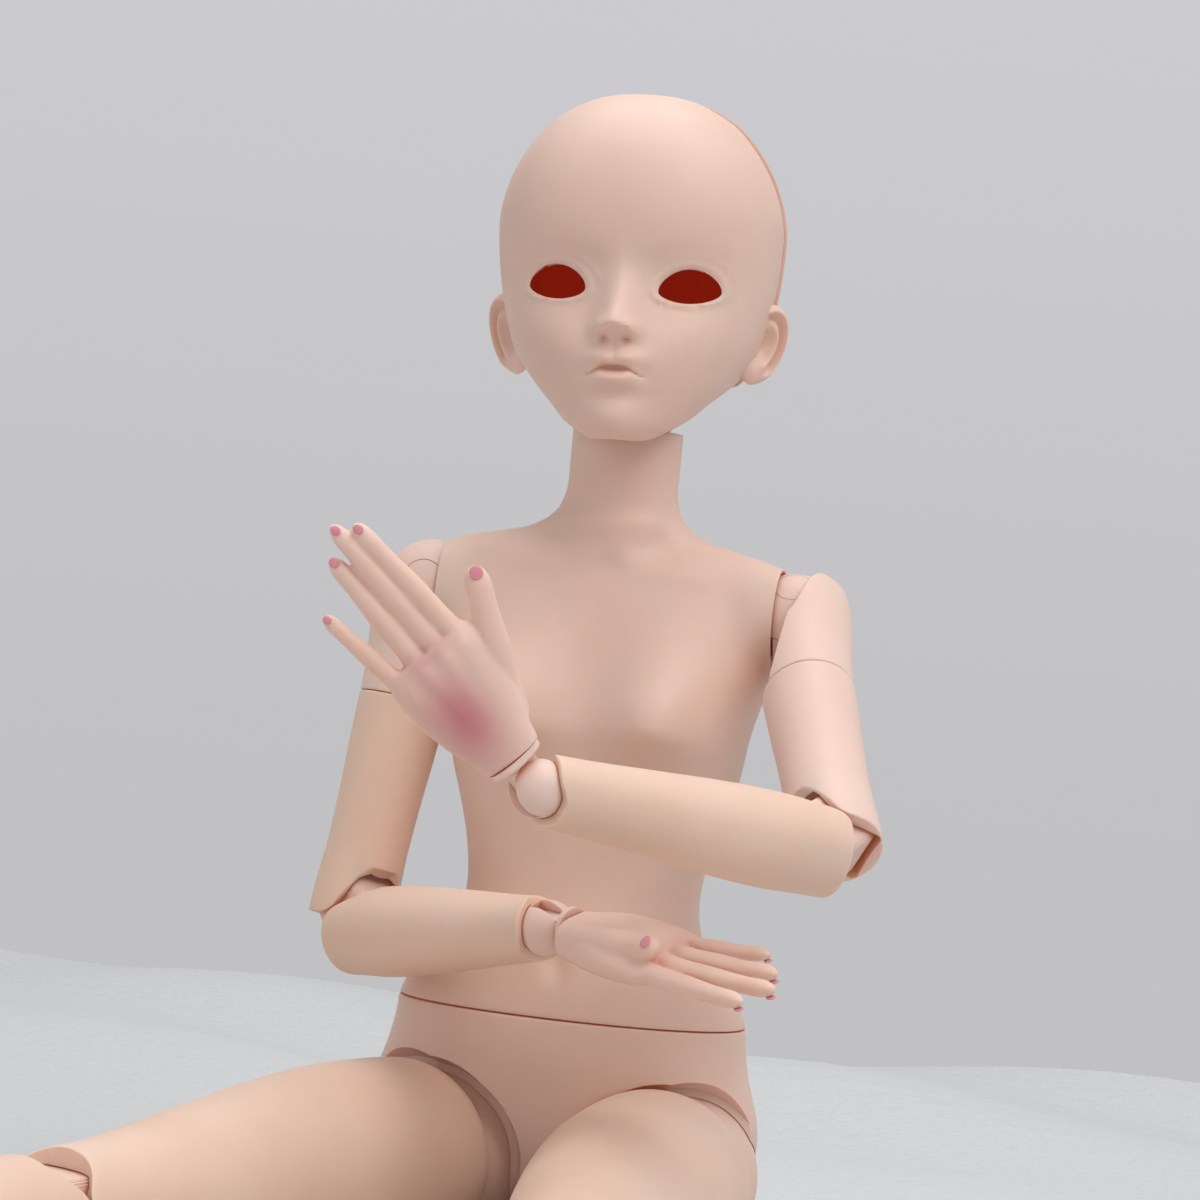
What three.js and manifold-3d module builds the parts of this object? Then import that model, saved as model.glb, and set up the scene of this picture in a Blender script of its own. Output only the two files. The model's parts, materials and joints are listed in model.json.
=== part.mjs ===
// Ball jointed doll, about one third scale, sitting with its legs stretched out in front.
// Millimetres. +Z is up, the doll looks along -Y, and its own left side is +X.
// Every group stands on a joint: its origin is the pivot and its turn is the pose.

import * as THREE from 'three';
import { mergeVertices } from 'three/addons/utils/BufferGeometryUtils.js';
import Module from 'manifold-3d';

const wasm = await Module();
wasm.setup();

const TAU = Math.PI * 2;
const { degToRad, lerp, clamp, smoothstep } = THREE.MathUtils;

// Clearances and overruns
const fit = 0.35;
const pinFit = 0.3;
const overrun = 4;
const mergeDistance = 0.001;

// Torso sizes
const rimHeight = 68;
const rimHalfWidth = 41.6;
const rimHalfDepth = 26;
const rimGap = 0.8;
const chestHeight = 137.7;
const armholeHalfSpan = 41.2;
const bustSide = 16.5;
const bustHeight = 67.5;
const bustReach = 10.5;
const bustWidth = 9.6;
const bustTall = 9;
const navelHeight = 11.5;
const navelDepth = 1.6;
const navelSize = 2.2;
const collarHeight = 105;
const collarDepth = 1.3;

// Waist joint
const waistStubRadius = 15;
const waistStubHeight = 9;
const waistBallRadius = 9;
const waistPegRadius = 5;
const waistPegLength = 12;

// Neck joint
const neckPivotAbove = 10.5;
const neckSeatRadius = 14.2;
const neckStemRadius = 2.6;
const neckStemDepth = 12;
const neckCrossRadius = 1.7;
const neckPinRadius = 1.2;
const neckPinReach = 6.2;
const neckForkHalf = 3.6;
const neckForkThick = 1.8;
const bossWall = 3;
const stemHoleRadius = 6.4;
const neckSwing = 3.4;

// Head sizes
const headHeight = 84.3;
const headHalfWidth = 33.6;
const headFront = 34;
const headBack = 39;
const chinBelowPivot = 15.5;
const headWall = 4;
const capProud = 0.4;
const capSeamBack = 6;
const capSeamLean = 0.06;
const capFloor = 17;
const eyeSide = 15.4;
const eyeHeight = 34.4;
const eyeHalfWidth = 7.1;
const eyeRise = 4.9;
const eyeDrop = 3.2;
const eyeWellRadius = 10.2;
const eyeWellBack = 14;
const magnetRadius = 2.5;
const magnetThick = 2;
const magnetSide = headHalfWidth * 0.84;
const magnetHeight = headHeight * 0.5;
const earHeight = 18;
const earWidth = 11;
const earThick = 3.2;

// Shoulder and arm sizes
const shoulderHalfSpan = 43.9;
const shoulderHeight = 96.3;
const shoulderBall = 11.3;
const shoulderBarrelDepth = 9;
const armCapLength = 28;
const armCapWall = 1.9;
const upperArmLength = 76.5;
const armTopRadius = 10.7;
const armPegRadius = 5.5;
const armPegLength = 10;
const elbowSpan = 11;
const elbowLinkRadius = 7.4;
const elbowLinkHalf = 6.2;
const elbowReach = 5.2;
const elbowRise = 7.5;
const elbowPinRadius = 1.7;
const elbowFold = 66;
const forearmLength = 66.5;
const forearmRadius = 10.7;
const wristHalfWidth = 8.2;
const wristBall = 6.3;
const wristPegRadius = 3.2;
const wristPegLength = 9;
const cuffThick = 1.8;
const handPegRadius = 2.4;
const handPegLength = 8;

// Hand sizes
const palmLength = 27;
const palmHalfWidth = 10.6;
const palmHalfDepth = 4.6;
const fingerRadius = 2.75;
const fingerLength = 34;
const thumbLength = 26;

// Hip and leg sizes
const hipHalfSpan = 26.8;
const hipBack = -5;
const hipHeight = 32.2;
const hipBall = 20.6;
const hipBarrelDepth = 20;
const hipBarrelRadius = 10;
const thighLength = 131;
const thighRadius = 25.4;
const kneeSpan = 17;
const kneeLinkRadius = 11.4;
const kneeLinkHalf = 9.4;
const kneeReach = 8.1;
const kneeRise = 11;
const kneePinRadius = 2.2;
const kneeFold = 65;
const thighPegRadius = 5;
const thighPegLength = 14;
const calfLength = 121;
const calfRadius = 17.4;
const ankleBall = 8;
const anklePegRadius = 3.6;
const anklePegLength = 11;
const footLength = 72;
const footHalfWidth = 12.5;
const footHeight = 15;
const heelBack = 15;
const toeLength = 11;

// Tongue and pin sizes of the slotted ball joints
const shoulderJoint = { radius: shoulderBall, slotHalf: 2.6, hub: 6.2, pin: 2, head: 4.7 };
const hipJoint = { radius: hipBall, slotHalf: 5.2, hub: 10.5, pin: 3.2, head: 7 };
const wristJoint = { radius: wristBall, slotHalf: 1.5, hub: 3.6, pin: 1.1, head: 2 };
const ankleJoint = { radius: ankleBall, slotHalf: 2, hub: 4.6, pin: 1.5, head: 2.8 };

// Pose in the photograph, in degrees
const pose = {
  left: {
    swingDeg: -52.1, raiseDeg: 16.4, armTwistDeg: -62, elbowUpperDeg: 40.9, elbowLowerDeg: 40.9,
    wristTwistDeg: -48.5, wristBendDeg: -37.8, handTurnDeg: 26.1,
    hipSwingDeg: -86.9, spreadDeg: 0, hipTwistDeg: 0, kneeUpperDeg: 0, kneeLowerDeg: 0, ankleTwistDeg: 0, ankleBendDeg: 8,
  },
  right: {
    swingDeg: -8.7, raiseDeg: 6.4, armTwistDeg: -50, elbowUpperDeg: 48.8, elbowLowerDeg: 48.8,
    wristTwistDeg: -50.9, wristBendDeg: 13, handTurnDeg: 82.9,
    hipSwingDeg: -86.6, spreadDeg: 23, hipTwistDeg: 0, kneeUpperDeg: 0, kneeLowerDeg: 0, ankleTwistDeg: 0, ankleBendDeg: 8,
  },
  headTurnDeg: 3, headNodDeg: -2, headTiltDeg: -2.5,
};

// How each finger is moulded, index to little, in degrees
const fingersDeg = {
  left: { curls: [6, 10, 14, 8], spreads: [2, 0, -2, -12], thumb: { curl: 12, spread: -30, lift: 8 } },
  right: { curls: [4, 6, 6, 8], spreads: [8, 1, -3, -9], thumb: { curl: 10, spread: -16, lift: 6 } },
};

// Finishes
const fleshPlastic = { color: 0xe8ccb8, roughness: 0.52, metalness: 0 };
const palePlastic = { color: 0xecd4c8, roughness: 0.48, metalness: 0 };
const limbPlastic = { color: 0xe6c8ae, roughness: 0.5, metalness: 0 };
const innerPlastic = { color: 0xd9c3b4, roughness: 0.6, metalness: 0 };
const steel = { color: 0xb9bcc0, roughness: 0.35, metalness: 1 };

// Solids

function toSolid(geometry) {
  const bare = geometry.clone();
  bare.deleteAttribute('normal');
  bare.deleteAttribute('uv');
  const merged = mergeVertices(bare, mergeDistance);
  return new wasm.Manifold(new wasm.Mesh({
    numProp: 3,
    vertProperties: new Float32Array(merged.attributes.position.array),
    triVerts: new Uint32Array(merged.index.array),
  }));
}

function toGeometry(solid) {
  const mesh = solid.getMesh();
  const geometry = new THREE.BufferGeometry();
  geometry.setAttribute('position', new THREE.Float32BufferAttribute(mesh.vertProperties, 3));
  geometry.setIndex(Array.from(mesh.triVerts));
  geometry.computeVertexNormals();
  return geometry;
}

function join(...geometries) {
  return toGeometry(geometries.map(toSolid).reduce((whole, piece) => whole.add(piece)));
}

function cut(geometry, ...tools) {
  return toGeometry(tools.map(toSolid).reduce((whole, tool) => whole.subtract(tool), toSolid(geometry)));
}

function common(first, second) {
  return toGeometry(toSolid(first).intersect(toSolid(second)));
}

function at(geometry, x, y, z) {
  return geometry.translate(x, y, z);
}

// A round bar along one axis, from one place on that axis to another
function bar(axis, radius, from, to, sides = 12) {
  const geometry = new THREE.CylinderGeometry(radius, radius, Math.abs(to - from), sides);
  if (axis === 'x') geometry.rotateZ(-Math.PI / 2);
  if (axis === 'z') geometry.rotateX(Math.PI / 2);
  const middle = (from + to) / 2;
  return at(geometry, axis === 'x' ? middle : 0, axis === 'y' ? middle : 0, axis === 'z' ? middle : 0);
}

function block(xFrom, xTo, yFrom, yTo, zFrom, zTo) {
  const geometry = new THREE.BoxGeometry(xTo - xFrom, yTo - yFrom, zTo - zFrom);
  return at(geometry, (xFrom + xTo) / 2, (yFrom + yTo) / 2, (zFrom + zTo) / 2);
}

function ball(radius, sides = 16, bands = 10) {
  return new THREE.SphereGeometry(radius, sides, bands).rotateX(Math.PI / 2);
}

// Cutters whose flat facets all stay outside the named radius
function bore(axis, radius, from, to, sides = 12) {
  return bar(axis, radius / Math.cos(Math.PI / sides), from, to, sides);
}

function hollow(radius, sides = 16, bands = 10) {
  return ball(radius / Math.cos(Math.PI / sides) / Math.cos(Math.PI / bands / 2), sides, bands);
}

// A flat outline in the XZ plane, as thick as twice the half thickness along Y
function plate(outline, half) {
  const shape = new THREE.Shape(outline.map(([x, z]) => new THREE.Vector2(x, z)));
  const geometry = new THREE.ExtrudeGeometry(shape, { depth: 2 * half, bevelEnabled: false });
  return at(geometry.rotateX(Math.PI / 2), 0, half, 0);
}

// Lofts

// One closed skin over rings that all have the same number of points
function loft(rings) {
  const count = rings[0].length;
  const points = rings.flat();
  const first = points.length;
  for (const ring of [rings[0], rings.at(-1)]) {
    points.push(ring.reduce((sum, p) => sum.add(p), new THREE.Vector3()).divideScalar(count));
  }
  const index = [];
  for (let i = 0; i < count; i++) {
    const next = (i + 1) % count;
    index.push(first, next, i);
    for (let j = 0; j < rings.length - 1; j++) {
      const a = j * count + i;
      const b = j * count + next;
      index.push(a, b, b + count, a, b + count, a + count);
    }
    const base = (rings.length - 1) * count;
    index.push(first + 1, base + i, base + next);
  }
  const geometry = new THREE.BufferGeometry();
  const places = points.flatMap((p) => [p.x, p.y, p.z]);
  geometry.setAttribute('position', new THREE.Float32BufferAttribute(places, 3));
  geometry.setIndex(volumeOf(points, index) < 0 ? flipped(index) : index);
  geometry.computeVertexNormals();
  return geometry;
}

function flipped(index) {
  const turned = [];
  for (let i = 0; i < index.length; i += 3) turned.push(index[i], index[i + 2], index[i + 1]);
  return turned;
}

function volumeOf(points, index) {
  let sum = 0;
  for (let i = 0; i < index.length; i += 3) {
    const [a, b, c] = [0, 1, 2].map((k) => points[index[i + k]]);
    sum += a.dot(new THREE.Vector3().crossVectors(b, c));
  }
  return sum;
}

// A smooth value table: each row is a place along the form and the values there
function sample(rows, place) {
  let i = 0;
  while (i < rows.length - 2 && place > rows[i + 1][0]) i++;
  const [from, to] = [rows[i], rows[i + 1]];
  const before = rows[Math.max(i - 1, 0)];
  const after = rows[Math.min(i + 2, rows.length - 1)];
  const span = to[0] - from[0];
  const t = clamp((place - from[0]) / span, 0, 1);
  return from.map((value, k) => {
    const start = (to[k] - before[k]) / (to[0] - before[0]) * span;
    const end = (after[k] - value) / (after[0] - from[0]) * span;
    const rise = to[k] - value;
    return value + t * (start + t * (3 * rise - 2 * start - end + t * (start + end - 2 * rise)));
  });
}

// A section is wide, front and back half sizes and a squareness; 2 is an ellipse
function sectionRadius(angle, { wide, front, back, square = 2 }) {
  const across = Math.abs(Math.cos(angle)) / wide;
  const along = Math.abs(Math.sin(angle)) / (Math.sin(angle) < 0 ? front : back);
  return (across ** square + along ** square) ** (-1 / square);
}

// One ring of points: the section may change with height, and the height with the place in plan
function ringOf(sides, sectionAt, heightAt) {
  const points = [];
  for (let i = 0; i < sides; i++) {
    const angle = TAU * i / sides;
    const point = new THREE.Vector3(0, 0, heightAt(0, 0));
    for (let pass = 0; pass < 4; pass++) {
      const section = sectionAt(point.z);
      const radius = sectionRadius(angle, section);
      point.x = radius * Math.cos(angle);
      point.y = radius * Math.sin(angle) + (section.shift ?? 0);
      point.z = heightAt(point.x, point.y);
    }
    points.push(point);
  }
  return points;
}

// Rings between a flat level and a shaped rim
function rimRings(sides, sectionAt, flat, rimAt, steps) {
  const rings = [];
  for (let k = 1; k <= steps; k++) {
    rings.push(ringOf(sides, sectionAt, (x, y) => lerp(flat, rimAt(x, y), k / steps)));
  }
  return rings;
}

// The rim of a limb beside a hinge along X: level behind the hinge, and cut back on the side it folds to
function hingeRim(reach, rise, fold, side, otherRise = 0) {
  const slope = Math.tan(degToRad(fold));
  const turnPlace = reach * Math.sin(degToRad(fold));
  return (x, y) => {
    const depth = y * side;
    if (depth <= 0) return -reach + otherRise * smoothstep(-depth, reach, 2 * reach);
    if (depth < turnPlace) return -Math.sqrt(reach * reach - depth * depth);
    return Math.min(rise, -Math.sqrt(reach * reach - turnPlace * turnPlace) + (depth - turnPlace) * slope);
  };
}

// A limb's outer form, with a shaped rim at either end
function limb({ sides, sectionAt, levels, top, bottom }) {
  return loft([
    ...(top ? rimRings(sides, sectionAt, top.flat, top.rim, 2).reverse() : []),
    ...levels.map((z) => ringOf(sides, sectionAt, () => z)),
    ...(bottom ? rimRings(sides, sectionAt, bottom.flat, bottom.rim, 2) : []),
  ]);
}

// The slot in a limb's end that the link turns in; its cut corners stay clear of the link's folded edges
function linkSlot(half, radius, from, to) {
  const [x, y, corner] = [half + fit, radius + fit, radius / 5 - 2 * fit];
  const outline = [
    [x, corner - y], [x, y - corner], [x - corner, y], [corner - x, y],
    [-x, y - corner], [-x, corner - y], [corner - x, -y], [x - corner, -y],
  ];
  const geometry = plate(outline, (to - from) / 2).rotateX(-Math.PI / 2);
  return at(geometry, 0, 0, (from + to) / 2);
}

function levelsBetween(from, to, count) {
  return Array.from({ length: count }, (unused, i) => lerp(from, to, i / (count - 1)));
}

// Joint parts that repeat

// A flat sector in the XZ plane with a round hub, as thick as the slot it cuts along Y
function slotTool(hub, reach, fromDeg, toDeg, half) {
  const shape = new THREE.Shape();
  const [from, to] = [degToRad(fromDeg), degToRad(toDeg)];
  const spread = Math.asin(hub / reach);
  shape.absarc(0, 0, reach, from - spread, to + spread, false);
  shape.absarc(0, 0, hub, to + Math.PI / 2, from - Math.PI / 2 + TAU, false);
  const geometry = new THREE.ExtrudeGeometry(shape, { depth: 2 * half, bevelEnabled: false, curveSegments: 3 });
  return at(geometry.rotateX(Math.PI / 2), 0, half, 0);
}

// A ball with a barrel or peg on one side and a slot for a tongue, held by a pin along Y
function ballBlock(sizes) {
  const { radius, pegDeg, pegRadius, pegLength, slotFrom, slotTo, slotHalf, hub, pin, head, sides = 12 } = sizes;
  const peg = bar('x', pegRadius, 0, pegLength, sides).rotateY(-degToRad(pegDeg));
  return cut(
    join(ball(radius, sides, sides / 2 + 2), peg),
    slotTool(hub + fit, radius + overrun, slotFrom, slotTo, slotHalf + fit),
    bar('y', pin + pinFit, -radius - overrun, radius - slotHalf / 2, 8),
    bar('y', head + pinFit, -radius - overrun, -slotHalf * 2, 10),
  );
}

// The pin of a ball block: its broad head lies flush in the front of the ball
function ballPin({ radius, slotHalf, pin, head }) {
  const flush = common(bar('y', head, -radius - overrun, -slotHalf * 2 - fit, 10), ball(radius, 10, 8));
  return join(flush, bar('y', pin, -slotHalf * 2 - fit - pin, radius - slotHalf / 2 - fit, 8));
}

// A tongue that hangs from the pin into the next piece
function tongue({ slotHalf, hub, pin }, length) {
  const blade = join(bar('y', hub, -slotHalf, slotHalf, 12), block(-hub, hub, -slotHalf, slotHalf, -length, 0));
  return cut(blade, bar('y', pin + pinFit, -slotHalf - overrun, slotHalf + overrun, 8));
}

// The link of a double hinge: two round ends with a pin through each, along X
function hingeLink(radius, half, span, pinRadius) {
  const round = radius / 5;
  const shape = new THREE.Shape();
  shape.absarc(0, 0, radius - round, 0, Math.PI, false);
  shape.absarc(0, -span, radius - round, Math.PI, TAU, false);
  const body = new THREE.ExtrudeGeometry(shape, {
    depth: 2 * (half - round),
    bevelEnabled: true,
    bevelSize: round,
    bevelThickness: round,
    bevelSegments: 1,
    curveSegments: 6,
  });
  at(body, 0, 0, round - half).rotateX(Math.PI / 2).rotateZ(Math.PI / 2);
  const holes = [0, -span].map((z) => at(bore('x', pinRadius + pinFit, -half * 2, half * 2, 8), 0, 0, z));
  return cut(body, ...holes);
}

function hingePin(radius, half) {
  return bar('x', radius, -half, half, 8);
}

// Blind pin holes in the two cheeks of a limb's end
function pinHoles(radius, half, z) {
  return at(bar('x', radius + pinFit, -half, half, 8), 0, 0, z);
}

// Torso

// Places up the chest as shares of its height, with wide, front and back as shares of the rim
const chestShares = [
  [0, 1, 1, 1, 2.1],
  [0.03, 0.958, 0.985, 0.985, 2.1],
  [0.057, 0.892, 0.962, 0.962, 2.1],
  [0.1, 0.78, 0.908, 0.885, 2.1],
  [0.147, 0.7, 0.831, 0.75, 2.1],
  [0.203, 0.67, 0.769, 0.654, 2.1],
  [0.28, 0.7, 0.754, 0.631, 2.15],
  [0.35, 0.762, 0.785, 0.654, 2.2],
  [0.413, 0.825, 0.823, 0.708, 2.2],
  [0.497, 0.866, 0.819, 0.769, 2.3],
  [0.58, 0.935, 0.769, 0.808, 2.4],
  [0.66, 0.985, 0.673, 0.79, 2.4],
  [0.72, 1.004, 0.58, 0.72, 2.3],
  [0.76, 1.002, 0.53, 0.67, 2.2],
  [0.784, 1, 0.5, 0.64, 2.1],
  [0.797, 0.985, 0.49, 0.62, 2.1],
  [0.803, 0.88, 0.48, 0.6, 2],
  [0.811, 0.68, 0.475, 0.58, 2],
  [0.823, 0.5, 0.46, 0.54, 2],
  [0.843, 0.39, 0.45, 0.5, 2],
  [0.87, 0.335, 0.445, 0.48, 2],
  [0.9, 0.315, 0.45, 0.47, 2],
  [0.94, 0.315, 0.47, 0.48, 2],
  [1, 0.315, 0.475, 0.475, 2],
];

// Swing and spread angles that the thigh's room in the pelvis is cut at
const legTurns = [[0, 0], [24, 0], [48, 0], [70, 0], [92, 0], [62, 26], [90, 26], [76, 46]];

const pelvisShares = [
  [0, 0.62, 0.12, 1.02, 2.2],
  [0.04, 0.78, 0.32, 1.14, 2.2],
  [0.12, 0.9, 0.5, 1.25, 2.2],
  [0.25, 1.02, 0.62, 1.33, 2.2],
  [0.45, 1.1, 0.75, 1.33, 2.2],
  [0.65, 1.12, 0.88, 1.23, 2.2],
  [0.85, 1.035, 0.98, 1.08, 2.1],
  [0.94, 1.008, 1, 1.02, 2.1],
  [1, 1, 1, 1, 2.1],
];

function torsoSection(rows, share) {
  const [, wide, front, back, square] = sample(rows, share);
  return { wide: wide * rimHalfWidth, front: front * rimHalfDepth, back: back * rimHalfDepth, square };
}

function bump(x, z, x0, z0, width, up, down) {
  return Math.exp(-(((x - x0) / width) ** 2 + ((z - z0) / (z > z0 ? up : down)) ** 2) / 2);
}

function chestGeometry() {
  const sides = 26;
  const levels = [
    0, 0.045, 0.09, ...levelsBetween(0.15, 0.69, 10), 0.735, 0.77, 0.797, 0.804, 0.813, 0.828, 0.87, 0.93, 1,
  ];
  const rings = levels.map((share) => (
    ringOf(sides, () => torsoSection(chestShares, share), () => share * chestHeight)
  ));
  for (const point of rings.flat()) {
    if (point.y > 0) continue;
    const face = smoothstep(-point.y, 0, rimHalfDepth / 3);
    const { x, z } = point;
    const bust = bump(Math.abs(x), z, bustSide, bustHeight, bustWidth, bustTall, bustTall * 0.62);
    const collar = bump(Math.abs(x), z, bustSide, collarHeight, bustSide / 2, navelSize, navelSize);
    const navel = bump(x, z, 0, navelHeight, navelSize, navelSize, navelSize);
    point.y -= face * (bustReach * bust + collarDepth * collar) - navelDepth * navel;
  }
  const pivot = chestHeight + neckPivotAbove;
  return cut(
    loft(rings),
    block(armholeHalfSpan, rimHalfWidth + overrun, -rimHalfWidth, rimHalfWidth, chestHeight / 2, chestHeight),
    block(-rimHalfWidth - overrun, -armholeHalfSpan, -rimHalfWidth, rimHalfWidth, chestHeight / 2, chestHeight),
    shoulderSocket(1),
    shoulderSocket(-1),
    bore('z', waistStubRadius + fit, -overrun, waistStubHeight + fit, 20),
    bore('z', waistPegRadius + fit, 0, waistStubHeight + waistPegLength + fit, 12),
    at(hollow(neckSeatRadius, 18, 12), 0, 0, pivot),
    bore('z', neckStemRadius + fit, chestHeight - neckStemDepth - fit - neckStemRadius, pivot, 12),
  );
}

function shoulderSocket(side) {
  const depth = armholeHalfSpan - shoulderBarrelDepth - fit;
  const barrel = bore('x', shoulderBall + fit, side * depth, side * (armholeHalfSpan + overrun), 22);
  return at(barrel, 0, 0, shoulderHeight);
}

function pelvisGeometry() {
  const levels = [0, 0.05, 0.14, 0.28, 0.45, 0.65, 0.85, 0.95, 1];
  const top = rimHeight - rimGap;
  const rings = levels.map((share) => ringOf(26, () => torsoSection(pelvisShares, share), () => share * top));
  const stub = bar('z', waistStubRadius, top / 2, rimHeight + waistStubHeight - fit - waistBallRadius / 2, 20);
  return cut(
    join(loft(rings), stub),
    ...hipSocket(1),
    ...hipSocket(-1),
    at(hollow(waistBallRadius + fit, 14, 8), 0, 0, rimHeight),
  );
}

function hipSocket(side) {
  const [outside, middle] = [side * (hipBall - hipBarrelDepth), -side * (hipHalfSpan - 2 * fit)];
  const shaft = bore('x', hipBarrelRadius + fit, outside, middle, 14);
  const rooms = legTurns.map(([swing, spread]) => (
    legRoom().rotateY(-side * degToRad(spread)).rotateX(-degToRad(swing))
  ));
  return [hollow(hipBall + fit, 14, 10), shaft, ...rooms].map((tool) => (
    at(tool, side * hipHalfSpan, hipBack, hipHeight)
  ));
}

// The room that a thigh needs where it swings through the pelvis
function legRoom() {
  const sides = 14;
  const sectionAt = sectionFrom(thighRows, thighLength, thighRadius);
  const places = [-thighRimShare * hipBall + 2 * fit, -hipBall * 0.8, -hipBall * 1.4, -hipBall * 2.8];
  return loft(places.map((z) => {
    const { wide, front, back } = sectionAt(z);
    const grow = (value) => value / Math.cos(Math.PI / sides) + 2 * fit;
    return ringOf(sides, () => ({ wide: grow(wide), front: grow(front), back: grow(back) }), () => z);
  }));
}

// Head

const headShares = [
  [0, 0.3, 0.9, 0.1],
  [0.012, 0.36, 0.93, 0.18],
  [0.035, 0.46, 0.965, 0.28],
  [0.073, 0.545, 0.98, 0.4],
  [0.117, 0.635, 0.985, 0.48],
  [0.161, 0.708, 0.985, 0.56],
  [0.205, 0.768, 0.98, 0.64],
  [0.249, 0.822, 0.975, 0.72],
  [0.292, 0.868, 0.965, 0.79],
  [0.38, 0.928, 0.95, 0.9],
  [0.468, 0.968, 0.955, 0.97],
  [0.556, 0.992, 0.985, 1],
  [0.643, 0.995, 1, 1],
  [0.731, 0.945, 0.97, 0.96],
  [0.82, 0.84, 0.88, 0.86],
  [0.907, 0.67, 0.71, 0.68],
  [0.953, 0.505, 0.545, 0.52],
  [0.985, 0.31, 0.34, 0.33],
  [1, 0.02, 0.02, 0.02],
];

function headSection(share, grow) {
  const [, wide, front, back] = sample(headShares, share);
  return {
    wide: wide * headHalfWidth + grow, front: front * headFront + grow, back: back * headBack + grow,
    square: 2 + 0.25 * smoothstep(share, 0.1, 0.5),
  };
}

// The face is worked on the skull by soft bumps and hollows, each at a share of the head's own sizes
const faceForms = [
  // side share, height share, width share, rise share, drop share, push share
  { name: 'brow', side: 0.42, high: 0.53, wide: 0.3, up: 0.05, down: 0.03, push: 0.03 },
  { name: 'eye hollow', side: 0.46, high: 0.41, wide: 0.24, up: 0.055, down: 0.055, push: -0.085 },
  { name: 'bridge', side: 0, high: 0.41, wide: 0.085, up: 0.06, down: 0.08, push: 0.06 },
  { name: 'nose', side: 0, high: 0.325, wide: 0.085, up: 0.05, down: 0.022, push: 0.2 },
  { name: 'nostril wing', side: 0.105, high: 0.29, wide: 0.05, up: 0.022, down: 0.018, push: 0.06 },
  { name: 'cheek', side: 0.52, high: 0.25, wide: 0.24, up: 0.08, down: 0.08, push: 0.05 },
  { name: 'muzzle', side: 0, high: 0.2, wide: 0.24, up: 0.07, down: 0.07, push: 0.06 },
  { name: 'upper lip', side: 0.06, high: 0.208, wide: 0.1, up: 0.016, down: 0.012, push: 0.04 },
  { name: 'lower lip', side: 0, high: 0.168, wide: 0.11, up: 0.014, down: 0.016, push: 0.045 },
  { name: 'chin crease', side: 0, high: 0.115, wide: 0.15, up: 0.02, down: 0.02, push: -0.04 },
  { name: 'chin', side: 0, high: 0.055, wide: 0.16, up: 0.035, down: 0.05, push: 0.05 },
];

function faceAngles(fine, coarse) {
  const half = degToRad(62);
  const front = levelsBetween(-Math.PI / 2 - half, -Math.PI / 2 + half, fine);
  const back = levelsBetween(-Math.PI / 2 + half, Math.PI * 1.5 - half, coarse);
  return [...front, ...back.slice(1, -1)];
}

function skull(levels, angles, grow, withFace) {
  const rings = levels.map((share) => angles.map((angle) => {
    const section = headSection(share, grow);
    const radius = sectionRadius(angle, section);
    const height = share * headHeight + grow * (2 * share - 1);
    const point = new THREE.Vector3(radius * Math.cos(angle), radius * Math.sin(angle), height);
    const behind = smoothstep(point.y, -headFront * 0.9, headBack * 0.3);
    point.z += behind * headHeight * 0.1 * (1 - smoothstep(share, 0, 0.3));
    if (withFace && point.y < 0) {
      const facing = smoothstep(-point.y / headFront, 0.25, 0.7);
      let push = 0;
      for (const form of faceForms) {
        const { side, high, wide, up, down } = form;
        const [across, above] = [Math.abs(point.x) / headHalfWidth, point.z / headHeight];
        push += form.push * bump(across, above, side, high, wide, up, down);
      }
      point.y -= push * facing * headFront;
    }
    return point;
  }));
  return loft(rings);
}

function faceLevels() {
  return [0, 0.025, 0.06, 0.1, 0.135, 0.16, 0.18, 0.2, 0.222, 0.25, 0.28, 0.31, 0.34, 0.375,
    0.42, 0.48, 0.55, 0.64, 0.74, 0.83, 0.91, 0.96, 1];
}

// Almond outline of an eye opening, flatter below
function eyeTool(side) {
  const outline = [];
  const steps = 12;
  for (let i = 0; i < steps; i++) {
    const angle = TAU * i / steps;
    const rise = Math.sin(angle) > 0 ? eyeRise : eyeDrop;
    const x = eyeHalfWidth * Math.cos(angle);
    const y = rise * Math.sin(angle) * (1 - 0.12 * Math.cos(angle) ** 2) - side * x * 0.09;
    outline.push(new THREE.Vector2(x, y));
  }
  const shape = new THREE.Shape(outline);
  const geometry = new THREE.ExtrudeGeometry(shape, { depth: headFront, bevelEnabled: false });
  return at(geometry.rotateX(Math.PI / 2), side * eyeSide, 0, eyeHeight);
}

// The round seat behind an eye opening
function eyeWell(side) {
  return at(hollow(eyeWellRadius, 14, 8), side * eyeSide, -eyeWellBack, eyeHeight);
}

function cavity(shrink, bands) {
  const rings = levelsBetween(0, 1, bands).map((share) => {
    const { wide, front, back } = headSection(lerp(capFloor / headHeight, 1, share), -shrink);
    const close = share === 1 ? 0.05 : 1;
    const sized = {
      wide: Math.max(wide, shrink) * close,
      front: Math.max(front - shrink / 2, shrink) * close,
      back: Math.max(back, shrink) * close,
    };
    return ringOf(14, () => sized, () => lerp(capFloor, headHeight - shrink, share));
  });
  return loft(rings);
}

// What belongs to the cap: all that lies behind the seam and above its floor
function capSide(grow) {
  const [wide, deep] = [headHalfWidth + overrun, headBack + overrun];
  const tool = block(-wide, wide, capSeamBack + grow, deep, capFloor + grow, headHeight + overrun);
  const slanted = tool.attributes.position;
  for (let i = 0; i < slanted.count; i++) {
    if (slanted.getY(i) < deep / 2) slanted.setY(i, slanted.getY(i) - (slanted.getZ(i) - capFloor) * capSeamLean);
  }
  return tool;
}

function magnetTools(radius, from, to) {
  return [-1, 1].map((side) => at(bar('y', radius, from, to, 10), side * magnetSide, 0, magnetHeight));
}

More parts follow.
